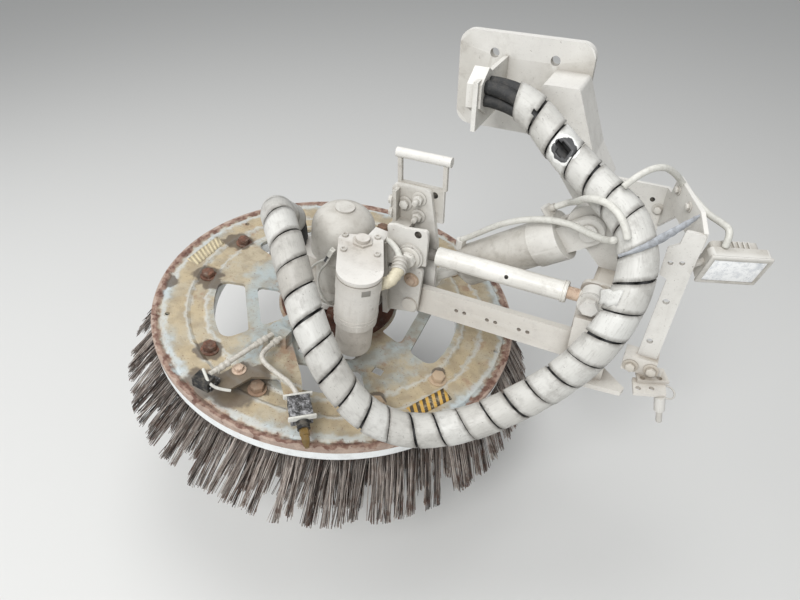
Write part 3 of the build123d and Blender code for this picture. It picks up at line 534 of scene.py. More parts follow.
class SIDEBROOM_OT_finishes(bpy.types.Operator):
    """Makes the finishes and gives them to the frame's pieces"""
    bl_idname = "sidebroom.finishes"
    bl_label = "Finishes"

    def execute(self, context):
        colours = context.scene.side_broom_colours
        FINISHES["paint"] = sprayed_steel("sprayed_steel", colours.paint, colours.grime, "#6B5F53")
        FINISHES["dusty"] = sprayed_steel("dusty_sprayed_steel", "#C9C2B6", "#8A7E70", "#6E5C4E", 0.75, 0.67)
        FINISHES["can"] = sprayed_steel("sprayed_castings", "#CBC6BE", "#8D8478", "#7F776C", 0.6, 0.64)
        FINISHES["rod_paint"] = sprayed_steel("rod_enamel", "#E2E0D9", "#9A9287", "#8A8176", 0.5, 0.7, 0.45)
        FINISHES["disc"] = stained_disc("stained_steel_disc", colours.disc, colours.tan, colours.rust)
        FINISHES["rust"] = rusted_steel("rusted_steel", colours.rust, "#4A3229")
        FINISHES["bolt_rust"] = rusted_steel("rusted_bolt", "#8B6350", "#5A3F33", 9.0, "#C3AE94")
        FINISHES["wire"] = sprung_wire("sprung_wire")
        FINISHES["guard"] = wound_guard("guard_polyethylene", colours.guard, "#85817B", torn_places[0][0])
        FINISHES["cream_stripes"] = striped_sticker("cream_striped_vinyl", "#D6CAA6", "#A0947A", 9.0, 0.85)
        FINISHES["yellow_stripes"] = striped_sticker("yellow_black_vinyl", "#CFA44A", "#4A3F30", 6.0, 0.6)
        FINISHES["grey_label"] = plain("blank_grey_label", "#8E8C86", 0.5)
        FINISHES["shadow"] = plain("bore_shadow", "#141312", 0.9)
        FINISHES["brass"] = plain("dusty_brass", "#8C7243", 0.4, 0.8)
        FINISHES["black"] = plain("black_rubber_trim", "#1E1E1F", 0.7)
        for key, name, base, dirt, rough, dirt_size_mm, dirtiness in (
                ("pale_rust", "dusty_rusted_bolt", "#D2BDA9", "#9A7B68", 0.85, 6.0, 0.8),
                ("ring", "ring_enamel", "#F0F3F3", "#8C8377", 0.45, 30.0, 0.35),
                ("scuffed", "scuffed_pipe_enamel", "#C9C5BC", "#7D7263", 0.4, 6.0, 0.6),
                ("mottled", "mottled_rubber", "#2B2A29", "#C9C9CC", 0.5, 9.0, 0.9),
                ("thread", "greased_thread", "#77736D", "#4E4A45", 0.45, 5.0, 0.6),
                ("cream", "creamy_polyamide", "#D8D0B8", "#9B8F78", 0.5, 9.0, 0.4),
                ("strap", "grey_blue_strap", "#A7ABB0", "#6A6866", 0.45, 6.0, 0.7),
                ("lamp_glass", "lamp_glass", "#FBFCFC", "#AFB5BC", 0.15, 9.0, 0.8),
                ("rubber", "hydraulic_hose_rubber", "#262728", "#6F6B66", 0.6, 10.0, 0.4),
                ("nylon", "air_hose_nylon", "#D4D3CC", "#8A8579", 0.45, 8.0, 0.35)):
            FINISHES[key] = moulded_plastic(name, base, dirt, rough, dirt_size_mm, dirtiness)
        by_node = {node: finish for finish, nodes in node_finishes.items() for node in nodes}
        for name, node in NODES.items():
            node.data.materials.clear()
            node.data.materials.append(FINISHES[by_node.get(name, "paint")])
        return {"FINISHED"}


# hoses

def route_line(points):
    """Points along the smooth line whose control points are a hose's route."""
    curve = bpy.data.curves.new("route", "CURVE")
    curve.dimensions = "3D"
    curve.resolution_u = 24
    spline = curve.splines.new("NURBS")
    spline.points.add(len(points) - 1)
    for target, point in zip(spline.points, points):
        target.co = (*point, 1)
    spline.order_u = 3
    spline.use_endpoint_u = True
    holder = bpy.data.objects.new("route", curve)
    bpy.context.collection.objects.link(holder)
    line = bpy.data.meshes.new_from_object(holder)
    found = [vertex.co.copy() for vertex in line.vertices]
    bpy.data.objects.remove(holder)
    bpy.data.meshes.remove(line)
    return found


def even(line, step):
    """The line walked in even steps, with the direction at each place."""
    marks = [0.0]
    for before, after in zip(line, line[1:]):
        marks.append(marks[-1] + (after - before).length)
    count = max(2, round(marks[-1] / step))
    shortest = 1e-9
    places = []
    k = 0
    for i in range(count + 1):
        goal = marks[-1] * i / count
        while k < len(line) - 2 and marks[k + 1] < goal:
            k += 1
        share = (goal - marks[k]) / max(marks[k + 1] - marks[k], shortest)
        places.append(line[k].lerp(line[k + 1], share))
    ways = [(b - a).normalized() for a, b in zip([places[0]] + places, places + [places[-1]])]
    ways[0] = (places[1] - places[0]).normalized()
    ways[-1] = (places[-1] - places[-2]).normalized()
    return places, ways


class Sweep:
    """A line with directions across it that don't twist."""

    def __init__(self, line, step=0.003):
        self.places, self.ways = even(line, step)
        self.length = sum((b - a).length for a, b in zip(self.places, self.places[1:]))
        first = self.ways[0].orthogonal().normalized()
        self.sides = [first]
        for before, after in zip(self.ways, self.ways[1:]):
            self.sides.append((before.rotation_difference(after) @ self.sides[-1]).normalized())

    def spot(self, distance, radius, turn):
        """A place at a distance along the line, out by a radius at an angle."""
        share = min(max(distance / self.length, 0.0), 1.0) * (len(self.places) - 1)
        low = min(int(share), len(self.places) - 2)
        part = share - low
        middle = self.places[low].lerp(self.places[low + 1], part)
        way = self.ways[low].lerp(self.ways[low + 1], part).normalized()
        side = self.sides[low].lerp(self.sides[low + 1], part)
        side = (side - way * side.dot(way)).normalized()
        return middle + (side * math.cos(turn) + way.cross(side) * math.sin(turn)) * radius


def mesh_piece(name, points, faces):
    mesh = bpy.data.meshes.new(name)
    mesh.from_pydata([tuple(p) for p in points], [], faces)
    mesh.update()
    piece = bpy.data.objects.new(name, mesh)
    bpy.context.collection.objects.link(piece)
    for face in mesh.polygons:
        face.use_smooth = True
    return piece


def tube_parts(centres, radius, sides):
    """Vertices and faces of a closed tube round a list of centres, with one radius or one for each centre."""
    radii = radius if isinstance(radius, list) else [radius] * len(centres)
    ways = [(b - a).normalized() for a, b in zip(centres, centres[1:])]
    ways.append(ways[-1])
    side = ways[0].orthogonal().normalized()
    points, faces = [], []
    for i, (middle, way) in enumerate(zip(centres, ways)):
        side = (side - way * side.dot(way)).normalized()
        other = way.cross(side)
        for k in range(sides):
            turn = 2 * math.pi * k / sides
            points.append(middle + (side * math.cos(turn) + other * math.sin(turn)) * radii[i])
        if i:
            base = (i - 1) * sides
            for k in range(sides):
                n = (k + 1) % sides
                faces.append((base + k, base + n, base + sides + n, base + sides + k))
    last = (len(centres) - 1) * sides
    faces.append(tuple(reversed(range(sides))))
    faces.append(tuple(range(last, last + sides)))
    return points, faces


def strands(name, sweep, begin, end, count, strand_radius, offset, twist):
    """Hoses lying side by side along part of a line, slowly twisted round each other."""
    points, faces = [], []
    step = 6 * MM
    sides = 10
    steps = max(2, round((end - begin) / step))
    for k in range(count):
        centres = []
        for i in range(steps + 1):
            distance = begin + (end - begin) * i / steps
            centres.append(sweep.spot(distance, offset, 2 * math.pi * (k / count + distance * twist)))
        more, rings = tube_parts(centres, strand_radius, sides)
        faces += [tuple(v + len(points) for v in face) for face in rings]
        points += more
    return mesh_piece(name, points, faces)


def spiral_guard(name, sweep, start, first_turn, last_turn, pitch, gap, radius, bare):
    """Some turns of a spiral band wound round the hoses, each a little uneven, with torn places left bare."""
    sides, rows = 44, 6
    wander, standing, flare, ripple_height, crown_height = 2.0 * MM, 0.6 * MM, 2.2 * MM, 0.6 * MM, 0.2 * MM
    points, faces, tones, edges, lies = [], [], [], [], []
    for i in range((last_turn - first_turn) * sides + 1):
        turn = first_turn + i / sides
        drift = wander * noise.noise(Vector((turn * 0.9, 3, 0)))
        width = pitch - gap * (1.1 + 1.1 * noise.noise(Vector((turn * 0.8, 3, 5))))
        tilt = standing + flare * noise.noise(Vector((turn * 1.1, 8, 2)))
        tone = 0.62 + 0.75 * noise.noise(Vector((round(turn) * 1.7, 11, 4)))
        for row in range(rows + 1):
            share = row / rows
            ripple = ripple_height * noise.noise(Vector((turn * 3.1, row, 3)))
            crown = crown_height * math.sin(math.pi * share)
            distance = start + turn * pitch + drift + share * width
            out = radius + tilt * (share - 0.5) + ripple + crown
            points.append(sweep.spot(distance, out, 2 * math.pi * turn))
            tones.append(min(max(tone, 0), 1))
            edges.append(abs(2 * share - 1) ** 8)
            lies += [turn % 1 * 0.16, distance * 0.12, 0.0]
    for i in range((last_turn - first_turn) * sides):
        for row in range(rows):
            a = i * (rows + 1) + row
            face = (a, a + 1, a + rows + 2, a + rows + 1)
            middle = sum((points[v] for v in face), Vector()) / 4
            ragged = 1 + 0.7 * noise.noise(middle * 70)
            if all((middle - spot).length >= size * ragged for spot, size in bare):
                faces.append(face)
    piece = mesh_piece(name, points, faces)
    attributes(piece, "FLOAT", {"guard_tone": tones, "guard_edge": edges})
    attributes(piece, "FLOAT_VECTOR", {"guard_lie": lies})
    edit(piece)
    bpy.ops.mesh.delete_loose()
    bpy.ops.mesh.select_all(action="SELECT")
    bpy.ops.mesh.normals_make_consistent(inside=False)
    done_editing()
    apply_modifier(piece, "SOLIDIFY", thickness=1.7 * MM, offset=-1.0)
    return piece


def torn_flap(sweep, aim):
    """The torn end of the guard, lifting off the bundle on the side that faces the aim."""
    near = min(range(len(sweep.places)), key=lambda i: (sweep.places[i] - aim).length)
    middle = near * sweep.length / (len(sweep.places) - 1)
    lying, rise, length, width = 23.6 * MM, 9 * MM, 8, 4
    turns = [i * 0.1 for i in range(63)]
    towards = min(turns, key=lambda turn: (sweep.spot(middle, 24 * MM, turn) - aim).length)
    points, faces = [], []
    for i in range(length + 1):
        for k in range(width + 1):
            curl = 1.5 * MM * noise.noise(Vector((i * 0.6, k * 0.8, 2)))
            lift = rise * (i / length) ** 1.5 * (1 - 0.15 * k) + curl
            along = (k - 2) * 5 * MM + 3 * MM * noise.noise(Vector((i * 0.5, 4, 1))) + 1.2 * MM * i
            points.append(sweep.spot(middle + along, lying + lift, towards + (i - 5) * 0.14))
            if i and k:
                a = (i - 1) * (width + 1) + k - 1
                faces.append((a, a + 1, a + width + 2, a + width + 1))
    flap = mesh_piece("torn_flap", points, faces)
    attributes(flap, "FLOAT", {"guard_tone": [0.9] * len(points), "guard_edge": [0.0] * len(points)})
    attributes(flap, "FLOAT_VECTOR", {"guard_lie": [number for point in points for number in point]})
    apply_modifier(flap, "SOLIDIFY", thickness=1.4 * MM, offset=0.0)
    return flap


# routes in millimetres from the middle of the broom's rim plane
bundle_route = (
    (206, 76, 364), (256, 76, 364), (318, 50, 317), (375, 25, 290), (428, -16, 272), (449, -48, 228),
    (438, -84, 165), (404, -112, 102), (346, -142, 44), (296, -174, 14), (236, -206, 4), (182, -228, 26),
    (136, -228, 74), (96, -210, 122), (58, -180, 166), (22, -146, 206), (-22, -104, 224), (-88, -12, 152),
    (-89.3, 30, 118.7), (-95, 30, 75.1))
air_hose_cap = (
    (321.3, 60, 229.9), (337.7, 60, 241.2), (346, 41, 253), (354.5, 8, 273), (371, -20, 296), (397, -36, 303),
    (420, -50, 289), (425.5, -54.5, 274))
air_hose_rod = (
    (191.4, 60, 140.8), (203, 60, 148), (226, 56, 168), (258, 46, 196), (302, 36, 220), (348, 20, 234),
    (386, -8, 240), (406, -32, 252), (411, -43.5, 262))
lamp_lead = (
    (404, 0, 308), (417, 14, 322), (438, 32, 328), (454, 54, 312), (468, 72, 290), (485, 69, 276),
    (503, 48, 271), (517, 28, 275), (530, 12, 275), (527.6, 7.4, 256))
conduit_route = ((101, -12, 159), (118, -26, 161), (136, -42, 160), (145, -58, 155))
strap_route = (
    (421, -63, 255), (441, -54, 265), (456, -41, 273), (472, -22, 281), (484, -8, 288), (493, 7, 291))

# the actuator's wires, over the disc: along it, across it and above its rim
wire_routes = {
    "wire_long": (
        (16, -62, 150), (12, -64, 128), (-4, -61, 105), (-1, -72, 84), (16, -76, 62), (24, -64, 48),
        (22, -50, 36)),
    "wire_short": (
        (9, -61, 133), (-20, -60, 108), (-20, -67, 84), (2, -76, 62), (14, -66, 48), (14, -52, 36)),
}

# where the bundle passes from one length to the next and where its guard begins, along the bundle
first_split = 512.2 * MM
second_split = 912.9 * MM
guard_start = 34 * MM
bundle_radius = 23 * MM
hoses_in_bundle = 4
bundled_hose_radius = 8.8 * MM
bundled_hose_offset = 11.8 * MM
hose_turns_per_metre = 1.1
torn_places = ((at(324, 27, 327), 8 * MM), (at(279, 46, 358), 5 * MM))
flap_aim = at(402, -84, 219)

# each length of the bundle: its two bodies, and where it bends from the first to the second
bundle_lengths = (
    ("hose_upper", "pylon", "lower_arm", at(420, -90, 230), at(380, -130, 90)),
    ("hose_loop", "lower_arm", "head", at(350, -150, 60), at(150, -200, 60)),
    ("hose_end", "head", "drive", at(-60, -40, 185), at(-92, 30, 90)))


class SIDEBROOM_OT_bundle(bpy.types.Operator):
    """Makes the guarded hose bundle in its three lengths"""
    bl_idname = "sidebroom.bundle"
    bl_label = "Hose bundle"

    def execute(self, context):
        sizes = context.scene.side_broom_sizes
        pitch = sizes.guard_pitch
        sweep = Sweep(route_line([at(*point) for point in bundle_route]))
        ends = (0.0, first_split, second_split, sweep.length)
        last = math.floor((sweep.length - guard_start) / pitch) - 1
        turns = [0] + [round((split - guard_start) / pitch) for split in ends[1:3]] + [last]
        for k, (name, first, second, bend_from, bend_to) in enumerate(bundle_lengths):
            begin, end = ends[k], ends[k + 1]
            core = strands(name + "_strands", sweep, begin, end, hoses_in_bundle, bundled_hose_radius,
                           bundled_hose_offset, hose_turns_per_metre)
            guard = spiral_guard(name + "_guard", sweep, guard_start, turns[k], turns[k + 1], pitch,
                                 sizes.guard_gap, bundle_radius, torn_places)
            if name == "hose_upper":
                guard = joined(guard.name, [guard, torn_flap(sweep, flap_aim)])
            for piece, material in ((core, FINISHES["rubber"]), (guard, FINISHES["guard"])):
                piece.data.materials.append(material)
                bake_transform(piece)
            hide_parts(name)
        return {"FINISHED"}


# name, route, width, its two bodies, and where it bends from the first to the second
small_hoses = (
    ("air_hose_cap", air_hose_cap, 9 * MM, "pylon", "cylinder", at(380, -20, 300), at(330, 60, 240)),
    ("air_hose_rod", air_hose_rod, 9 * MM, "pylon", "cylinder", at(380, 0, 240), at(240, 50, 190)),
    ("lamp_lead", lamp_lead, 8 * MM, "pylon", None, None, None),
)


class SIDEBROOM_OT_small_hoses(bpy.types.Operator):
    """Makes the two air hoses and the lamp's lead"""
    bl_idname = "sidebroom.small_hoses"
    bl_label = "Small hoses"

    def execute(self, context):
        for name, points, diameter, first, second, start, end in small_hoses:
            sweep = Sweep(route_line([at(*point) for point in points]), 2 * MM)
            parts, faces = tube_parts(sweep.places, diameter / 2, 12)
            piece = mesh_piece(name + "_line", parts, faces)
            piece.data.materials.append(FINISHES["nylon"])
            if second:
                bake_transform(piece)
            else:
                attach(piece, first)
            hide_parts(name)
        return {"FINISHED"}


# root radius, tip radius, drop and number of tufts of each row, in millimetres
tuft_rows = ((288.0, 350.0, 118.0, 46), (262.0, 318.0, 120.0, 42), (236.0, 284.0, 121.0, 38))
ring_bottom = -26.5
wire_reach_limit = 352.0
clumps_per_tuft = 4
clump_spacing = 8
wire_steps = 3
wire_taper = 0.14
wire_thickness = 0.36

# the middle and the spread of each draw that makes the wires uneven, in millimetres, but the lag in degrees
wire_draws = {
    "lag": (-3.0, 1.1),
    "tuft shade": (0.42, 0.1),
    "clump beside": (0, 1.5),
    "clump tip beside": (0, 3.0),
    "clump tip out": (-3, 3.5),
    "clump drop": (0, 2.0),
    "clump shade": (0, 0.12),
    "beside": (0, 3.0),
    "tip beside": (0, 3.6),
    "tip out": (0, 2.6),
    "root out": (0, 2.6),
    "drop": (0, 4.0),
    "bow": (2.0, 1.8),
    "facing": (0, 1),
    "shade": (0, 0.36),
}


class Wires:
    """The points and faces of all the wires, with each point's shade and how far along its wire it is."""

    def __init__(self):
        self.points, self.faces, self.shades, self.reaches = [], [], [], []

    def add(self, root, bow, tip, facing_way, width, shade):
        """Adds one three-sided wire that bows from its root to its tip and gets thinner."""
        way = (tip - root).normalized()
        flat = way.cross(facing_way).normalized()
        edge = way.cross(flat)
        for i in range(wire_steps + 1):
            share = i / wire_steps
            place = root.lerp(bow, share).lerp(bow.lerp(tip, share), share)
            half = flat * width * (0.5 - wire_taper * share)
            thick = edge * width * wire_thickness
            base = len(self.points)
            self.points += [place - half, place + half, place + thick]
            self.shades += [shade] * 3
            self.reaches += [share] * 3
            if i:
                for k, n in ((0, 1), (1, 2), (2, 0)):
                    self.faces.append((base - 3 + k, base - 3 + n, base + n, base + k))
            else:
                self.faces.append((base + 2, base + 1, base))
        self.faces.append((base, base + 1, base + 2))


class SIDEBROOM_OT_wires(bpy.types.Operator):
    """Makes the broom's steel wires"""
    bl_idname = "sidebroom.wires"
    bl_label = "Broom wires"

    def execute(self, context):
        sizes = context.scene.side_broom_sizes
        draw = random.Random(7)
        wires = Wires()

        def drawn(key):
            return draw.gauss(*wire_draws[key])

        for root_radius, tip_radius, drop, count in tuft_rows:
            for tuft in range(count):
                middle = 360 * (tuft + draw.uniform(-0.1, 0.1)) / count
                lag = drawn("lag")
                tuft_shade = drawn("tuft shade")
                for clump in range(clumps_per_tuft):
                    beside = (clump - (clumps_per_tuft - 1) / 2) * clump_spacing + drawn("clump beside")
                    tip_beside = beside * 1.1 + drawn("clump tip beside")
                    tip_out = drawn("clump tip out")
                    shorter = abs(drawn("clump drop")) - 2
                    clump_shade = tuft_shade + drawn("clump shade")
                    for _ in range(sizes.wires_per_tuft // clumps_per_tuft):
                        turn = middle + math.degrees((beside + drawn("beside")) / root_radius)
                        tip_side = tip_beside + drawn("tip beside")
                        tip_turn = middle + lag + math.degrees(tip_side / tip_radius)
                        reach = min(tip_radius + tip_out + drawn("tip out"), wire_reach_limit)
                        root = polar(root_radius + drawn("root out"), turn, ring_bottom)
                        tip = polar(reach, tip_turn, shorter + abs(drawn("drop")) - drop)
                        bow = (root + tip) / 2 + polar(drawn("bow"), turn, 0) - HUB
                        facing_way = Vector([drawn("facing") for _ in range(3)])
                        shade = min(max(clump_shade + drawn("shade"), 0), 1)
                        wires.add(root, bow, tip, facing_way, sizes.wire_width, shade)
        piece = mesh_piece("broom_wires", wires.points, wires.faces)
        attributes(piece, "FLOAT", {"wire_shade": wires.shades, "wire_reach": wires.reaches})
        edit(piece)
        bpy.ops.mesh.normals_make_consistent(inside=False)
        done_editing()
        seated(piece, "broom", FINISHES["wire"])
        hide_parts("bristles")
        return {"FINISHED"}


def upright(sides, radius, height, low=0.0):
    """A cylinder or prism that stands on the origin, or a little above it."""
    bpy.ops.mesh.primitive_cylinder_add(
        vertices=sides, radius=radius, depth=height, location=(0, 0, low + height / 2))
    return bpy.context.object


def hex_bolt(name, flats, head, washer, thread=0.0):
    """A hexagon head with its washer, standing on the origin, and a thread end where it is a nut."""
    washer_height = washer * 0.09
    shapes = [(6, flats / math.sqrt(3), head, washer_height, flats * 0.07),
              (28, washer / 2, washer_height, 0.0, washer * 0.02)]
    if thread:
        shapes.append((20, flats * 0.3, thread, washer_height + head, flats * 0.07))
    parts = []
    for sides, radius, height, low, edge in shapes:
        part = upright(sides, radius, height, low)
        bevelled(part, edge)
        smoothed(part)
        parts.append(part)
    return joined(name, parts)


def turned_head(name, radius, height, socket=0.0, depth=0.0):
    """A round head standing on the origin, with a socket sunk into its top where it has one."""
    head = upright(24, radius, height)
    if socket:
        sunk(head, lambda face: face.normal.z > 0.9, radius - socket, (0, 0, -depth))
    bevelled(head, radius * 0.1)
    smoothed(head)
    head.name = name
    return head


BRACKET_OUT = (-0.922, -0.387, 0)

# name, template, body, node, finish, slot, size, the ray that seats them and the points
fastener_rows = (
    ("cheek_bolts", "bolt", "head", "head_bracket", "paint", "bare_steel", 1.0, OUTWARD,
     ((118, 14, 209), (116, 14, 182))),
    ("cheek_studs", "stud", "head", "head_bracket", "paint", "bare_steel", 1.0, OUTWARD,
     ((140, 14, 221), (139, 14, 193))),
    ("web_bolts", "bolt", "head", "head_bracket", "paint", "bare_steel", 0.9, (-1, 0, 0),
     ((104, 6, 215), (104, 6, 196))),
    ("plate_hole_shadow", "hole_shadow", "head", "head_bracket", "shadow", "overspray_paint", 0.85, OUTWARD,
     ((153, -17, 182),)),
    ("frame_hole_shadows", "hole_shadow", "head", "upper_frame", "shadow", "overspray_paint", 0.75, OUTWARD,
     ((160, 22, 227), (158, 22, 199))),
    ("front_plate_bolts", "bolt", "head", "head_bracket", "pale_rust", "rusted_steel", 0.95, OUTWARD,
     ((144, -18, 101),)),
    ("bracket_bolts", "bolt", "pylon", "lamp_bracket", "paint", "bare_steel", 0.7, OUTWARD,
     ((447, 99, 238),)),
    ("bracket_hole_shadows", "hole_shadow", "pylon", "lamp_bracket", "shadow", "overspray_paint", 0.5, OUTWARD,
     ((418, 99, 247), (437, 99, 250))),
    ("fold_bolts", "bolt", "pylon", "lamp_bracket", "paint", "bare_steel", 0.6, BRACKET_OUT,
     ((468, 72, 284), (484, 34, 284))),
    ("carrier_bolt", "bolt", "pylon", "pivot_carrier", "dusty", "bare_steel", 0.8, OUTWARD,
     ((412, 0, 150),)),
    ("rod_hole_shadow", "hole_shadow", "upper_link", "upper_rod", "shadow", "bare_steel", 0.45, OUTWARD,
     ((285, -10, 148),)),
    ("spray_bolt", "bolt", "drive", "spray_plate", "pale_rust", "rusted_steel", 0.95, (0.13, 0, 0.99),
     ((-30.2, -228, 16),)),
    ("foot_bolts", "bolt", "pylon", "foot_plates", "dusty", "bare_steel", 0.9, OUTWARD,
     ((471, -27, 72), (497, -27, 74))),
)
spokes = 5
first_spoke_turn = 40
disc_bolt_radius = 229
disc_bolt_height = -3
disc_bolt_side = 13.75
gear_case_screws = ((34, -58, 184), (75, -36, 184), (49, -88, 184), (93, -72, 184))


class SIDEBROOM_OT_fasteners(bpy.types.Operator):
    """Makes the bolts, nuts, washers and screws, and thin dark discs painted as the shadows in small holes"""
    bl_idname = "sidebroom.fasteners"
    bl_label = "Fasteners"

    def execute(self, context):
        templates = {
            "bolt": hex_bolt("bolt", 13 * MM, 6 * MM, 22 * MM),
            "stud": hex_bolt("stud", 13 * MM, 7 * MM, 22 * MM, 9 * MM),
            "disc_bolt": hex_bolt("disc_bolt", 19 * MM, 9 * MM, 28 * MM),
            "screw": turned_head("screw", 4.5 * MM, 3.5 * MM, 2.4 * MM, 1.6 * MM),
            # a thin dark disc, laid on a face as the painted shadow of a hole
            "hole_shadow": turned_head("hole_shadow", 6.5 * MM, 0.4 * MM),
        }
        draw = random.Random(3)
        turns = [first_spoke_turn + 360 / spokes * k + side
                 for k in range(spokes) for side in (-disc_bolt_side, disc_bolt_side)]
        places = [facing(polar(disc_bolt_radius, turn, disc_bolt_height), UP, draw.uniform(0, 6))
                  for turn in turns]
        disc_bolts = copies(templates["disc_bolt"], places, "disc_bolts")
        seated(disc_bolts, "broom", FINISHES["bolt_rust"])
        places = [facing(on_face("gear_case", on_disc(*point), UP)[0], UP) for point in gear_case_screws]
        screws = copies(templates["screw"], places, "gear_case_screws")
        seated(screws, "head", FINISHES["paint"])
        for name, kind, body, node, finish, slot, size, ray, points in fastener_rows:
            seats = [on_face(node, at(*point), ray) for point in points]
            places = [facing(place, normal, draw.uniform(0, 6), size) for place, normal in seats]
            seated(copies(templates[kind], places, name), body, FINISHES[finish])
        discard(*templates.values())
        return {"FINISHED"}


def tube_piece(name, points, radius, sides, body, material, step=2 * MM):
    """A closed tube along the smooth line of a route, riding on a body; returns it with its sweep."""
    sweep = Sweep(route_line(points), step)
    radii = [radius(i * step * METRE_MM) for i in range(len(sweep.places))] if callable(radius) else radius
    ring_points, ring_faces = tube_parts(sweep.places, radii, sides)
    piece = mesh_piece(name, ring_points, ring_faces)
    smoothed(piece, 40)
    return seated(piece, body, FINISHES[material]), sweep


def ribbed(radius_mm, depth_mm, pitch_mm):
    """A radius in metres that rises and falls along a tube, for ribs or a thread."""
    return lambda mm: (radius_mm + depth_mm * (1 if (mm / pitch_mm) % 1 < 0.5 else -1)) * MM


def block(name, size, place, ways, bevel, panel, body, slot, material):
    """A moulded block: bevelled box with sunk panels in its sides, set at a place along three directions."""
    bpy.ops.mesh.primitive_cube_add(size=1, scale=[side * MM for side in size])
    bpy.ops.object.transform_apply(location=False, rotation=False, scale=True)
    piece = bpy.context.object
    if panel:
        edit(piece)
        bpy.ops.mesh.inset(thickness=panel * MM, use_individual=True)
        bpy.ops.mesh.extrude_region_shrink_fatten(TRANSFORM_OT_shrink_fatten={"value": -panel * 0.35 * MM})
        done_editing()
    bevelled(piece, bevel * MM, 3)
    along, across, up = [Vector(way).normalized() for way in ways]
    piece.data.transform(Matrix.Translation(place) @ Matrix((along, across, up)).transposed().to_4x4())
    smoothed(piece)
    piece.name = name
    return seated(piece, body, FINISHES[material])


def ring(name, middle, axis, radius, thickness, body, material):
    """A thin round bead or wire ring about an axis; sizes in millimetres."""
    bpy.ops.mesh.primitive_torus_add(
        major_radius=radius * MM, minor_radius=thickness / 2 * MM, major_segments=48, minor_segments=10,
        location=middle, rotation=Vector(axis).to_track_quat("Z", "Y").to_euler())
    piece = bpy.context.object
    piece.name = name
    bpy.ops.object.shade_smooth()
    return seated(piece, body, FINISHES[material])


conduit_width = 9.2 * MM
actuator_wire_width = 3.8 * MM
conduit_ends = (
    ("conduit_collar", ((142, -52, 157), (145, -60, 155), (147, -70, 151)), ribbed(10.2, 0.7, 6), "paint"),
    ("conduit_elbow", ((147, -69, 152), (147, -84, 147), (137, -91, 140), (122, -93, 135)),
     ribbed(8.6, 0.35, 8), "cream"),
)
left_eye, right_eye = at(142, 0, 143), at(401, 0, 141)
rod_way = (right_eye - left_eye).normalized()

# name, point over the disc, radius, thickness, body and finish of the beads round the can and the cover
beads = (
    ("can_bead", (88, -112, 104), 30.9, 1.6, "head", "can"),
    ("can_bead_low", (88, -112, 91), 27.4, 1.4, "head", "can"),
    ("can_seam", (88, -112, 111), 31.2, 1.5, "head", "can"),
    ("cover_seam", (0, 0, 128), 48.9, 1.0, "drive", "paint"),
)


class SIDEBROOM_OT_fittings(bpy.types.Operator):
    """Makes the conduit, the wires, the rod's threads, the beads and the foot's ring"""
    bl_idname = "sidebroom.fittings"
    bl_label = "Fittings"

    def execute(self, context):
        line = [at(*point) for point in conduit_route]
        conduit, sweep = tube_piece("conduit", line, conduit_width / 2, 14, "head", "nylon")
        for name, route, radius, finish in conduit_ends:
            end, _ = tube_piece(name, [at(*point) for point in route], radius, 24, "head",
                                finish, MM)
        for name, route in wire_routes.items():
            foot, _ = on_face("drive_housing", on_disc(*route[-1]), UP)
            line = [on_disc(*point) for point in route[:-1]] + [foot]
            wire, sweep = tube_piece(name, line, actuator_wire_width / 2, 10, "drive", "nylon")
        way = (on_disc(8, -61, 130) - on_disc(16, -62, 150)).normalized()
        side = way.cross(ACROSS).normalized()
        ways = (way, way.cross(side), side)
        block("connector_white", (15, 8, 7), on_disc(15, -62, 147), ways, 0.8, 1.6, "drive", "air_hose",
              "nylon")
        block("connector_brown", (13, 7, 6), on_disc(9, -61, 133), ways, 0.8, 1.4, "drive", "lamp_housing",
              "mottled")
        for name, eye, marks, radius, sides, finish in (
                ("rod_thread", left_eye, (17, 26.5, 36), ribbed(8.6, 0.25, 2), 24, "thread"),
                ("rod_neck", right_eye, (-36, -26.5, -17), ribbed(8.8, 0.25, 2), 24, "pale_rust"),
                ("rod_lock_ring", left_eye, (219, 222, 226), ribbed(15.2, 0.4, 4), 28, "rod_paint")):
            line = [eye + rod_way * mark * MM for mark in marks]
            tube_piece(name, line, radius, sides, "upper_link", finish, 0.5 * MM)
        flange, _ = on_face("upper_left_pin", at(156, -20, 143), OUTWARD)
        eye_bolt = hex_bolt("eye_bolt", 22 * MM, 11 * MM, 34 * MM)
        eye_bolt.data.transform(facing(Vector((left_eye.x, flange.y, flange.z)), OUTWARD, 0.3))
        seated(eye_bolt, "head", FINISHES["rod_paint"])
        for name, point, radius, thickness, body, finish in beads:
            ring(name, on_disc(*point), UP, radius, thickness, body, finish)
        ring("plate_bolt_ring", at(144, -18.5, 101), ACROSS, 11.4, 1.8, "head", "bolt_rust")
        ring("foot_ring", at(524, -36, 53), (0.2, -0.2, 0.95), 9.5, 2.4, "pylon", "paint")
        place, normal = on_face("gear_case", on_disc(111, -143, 167), OUTWARD)
        flat_way = UP.cross(normal).normalized()
        ways = (flat_way, normal.cross(flat_way), normal)
        block("can_label", (12, 9, 0.7), place + normal * 0.2 * MM, ways, 0.2, 0, "head", "overspray_paint",
              "grey_label")
        return {"FINISHED"}


# the spray's parts lie over the disc: along it and across it at the pipes' height
pipe_height = 40
pipe_radius = 3.7 * MM
pipes = (
    ("left_pipe", "left_nozzle", ((-22, -158), (-35, -212), (-49, -268))),
    ("front_pipe", "front_nozzle", ((-7, -156), (-14, -190), (-8, -210), (30, -220), (56, -224), (74, -238))),
)
ferrules = (((-25, -172), (-27.5, -182), (-30, -192)), ((-41, -238), (-43.5, -248), (-46, -258)),
            ((-9, -166), (-10, -171), (-11, -176)))
clip_route = ((-62, -266, 40), (-52, -273, 41), (-42, -279, 36), (-30, -276, 28), (-17, -266, 23))


def brass_tip_radius(mm):
    """The brass tip's radius in metres along it: a wide collar, a neck, then a taper."""
    if mm < 12:
        return 6.8 * MM
    if mm < 19:
        return 5.6 * MM
    return (5.6 - 0.3 * (mm - 19)) * MM


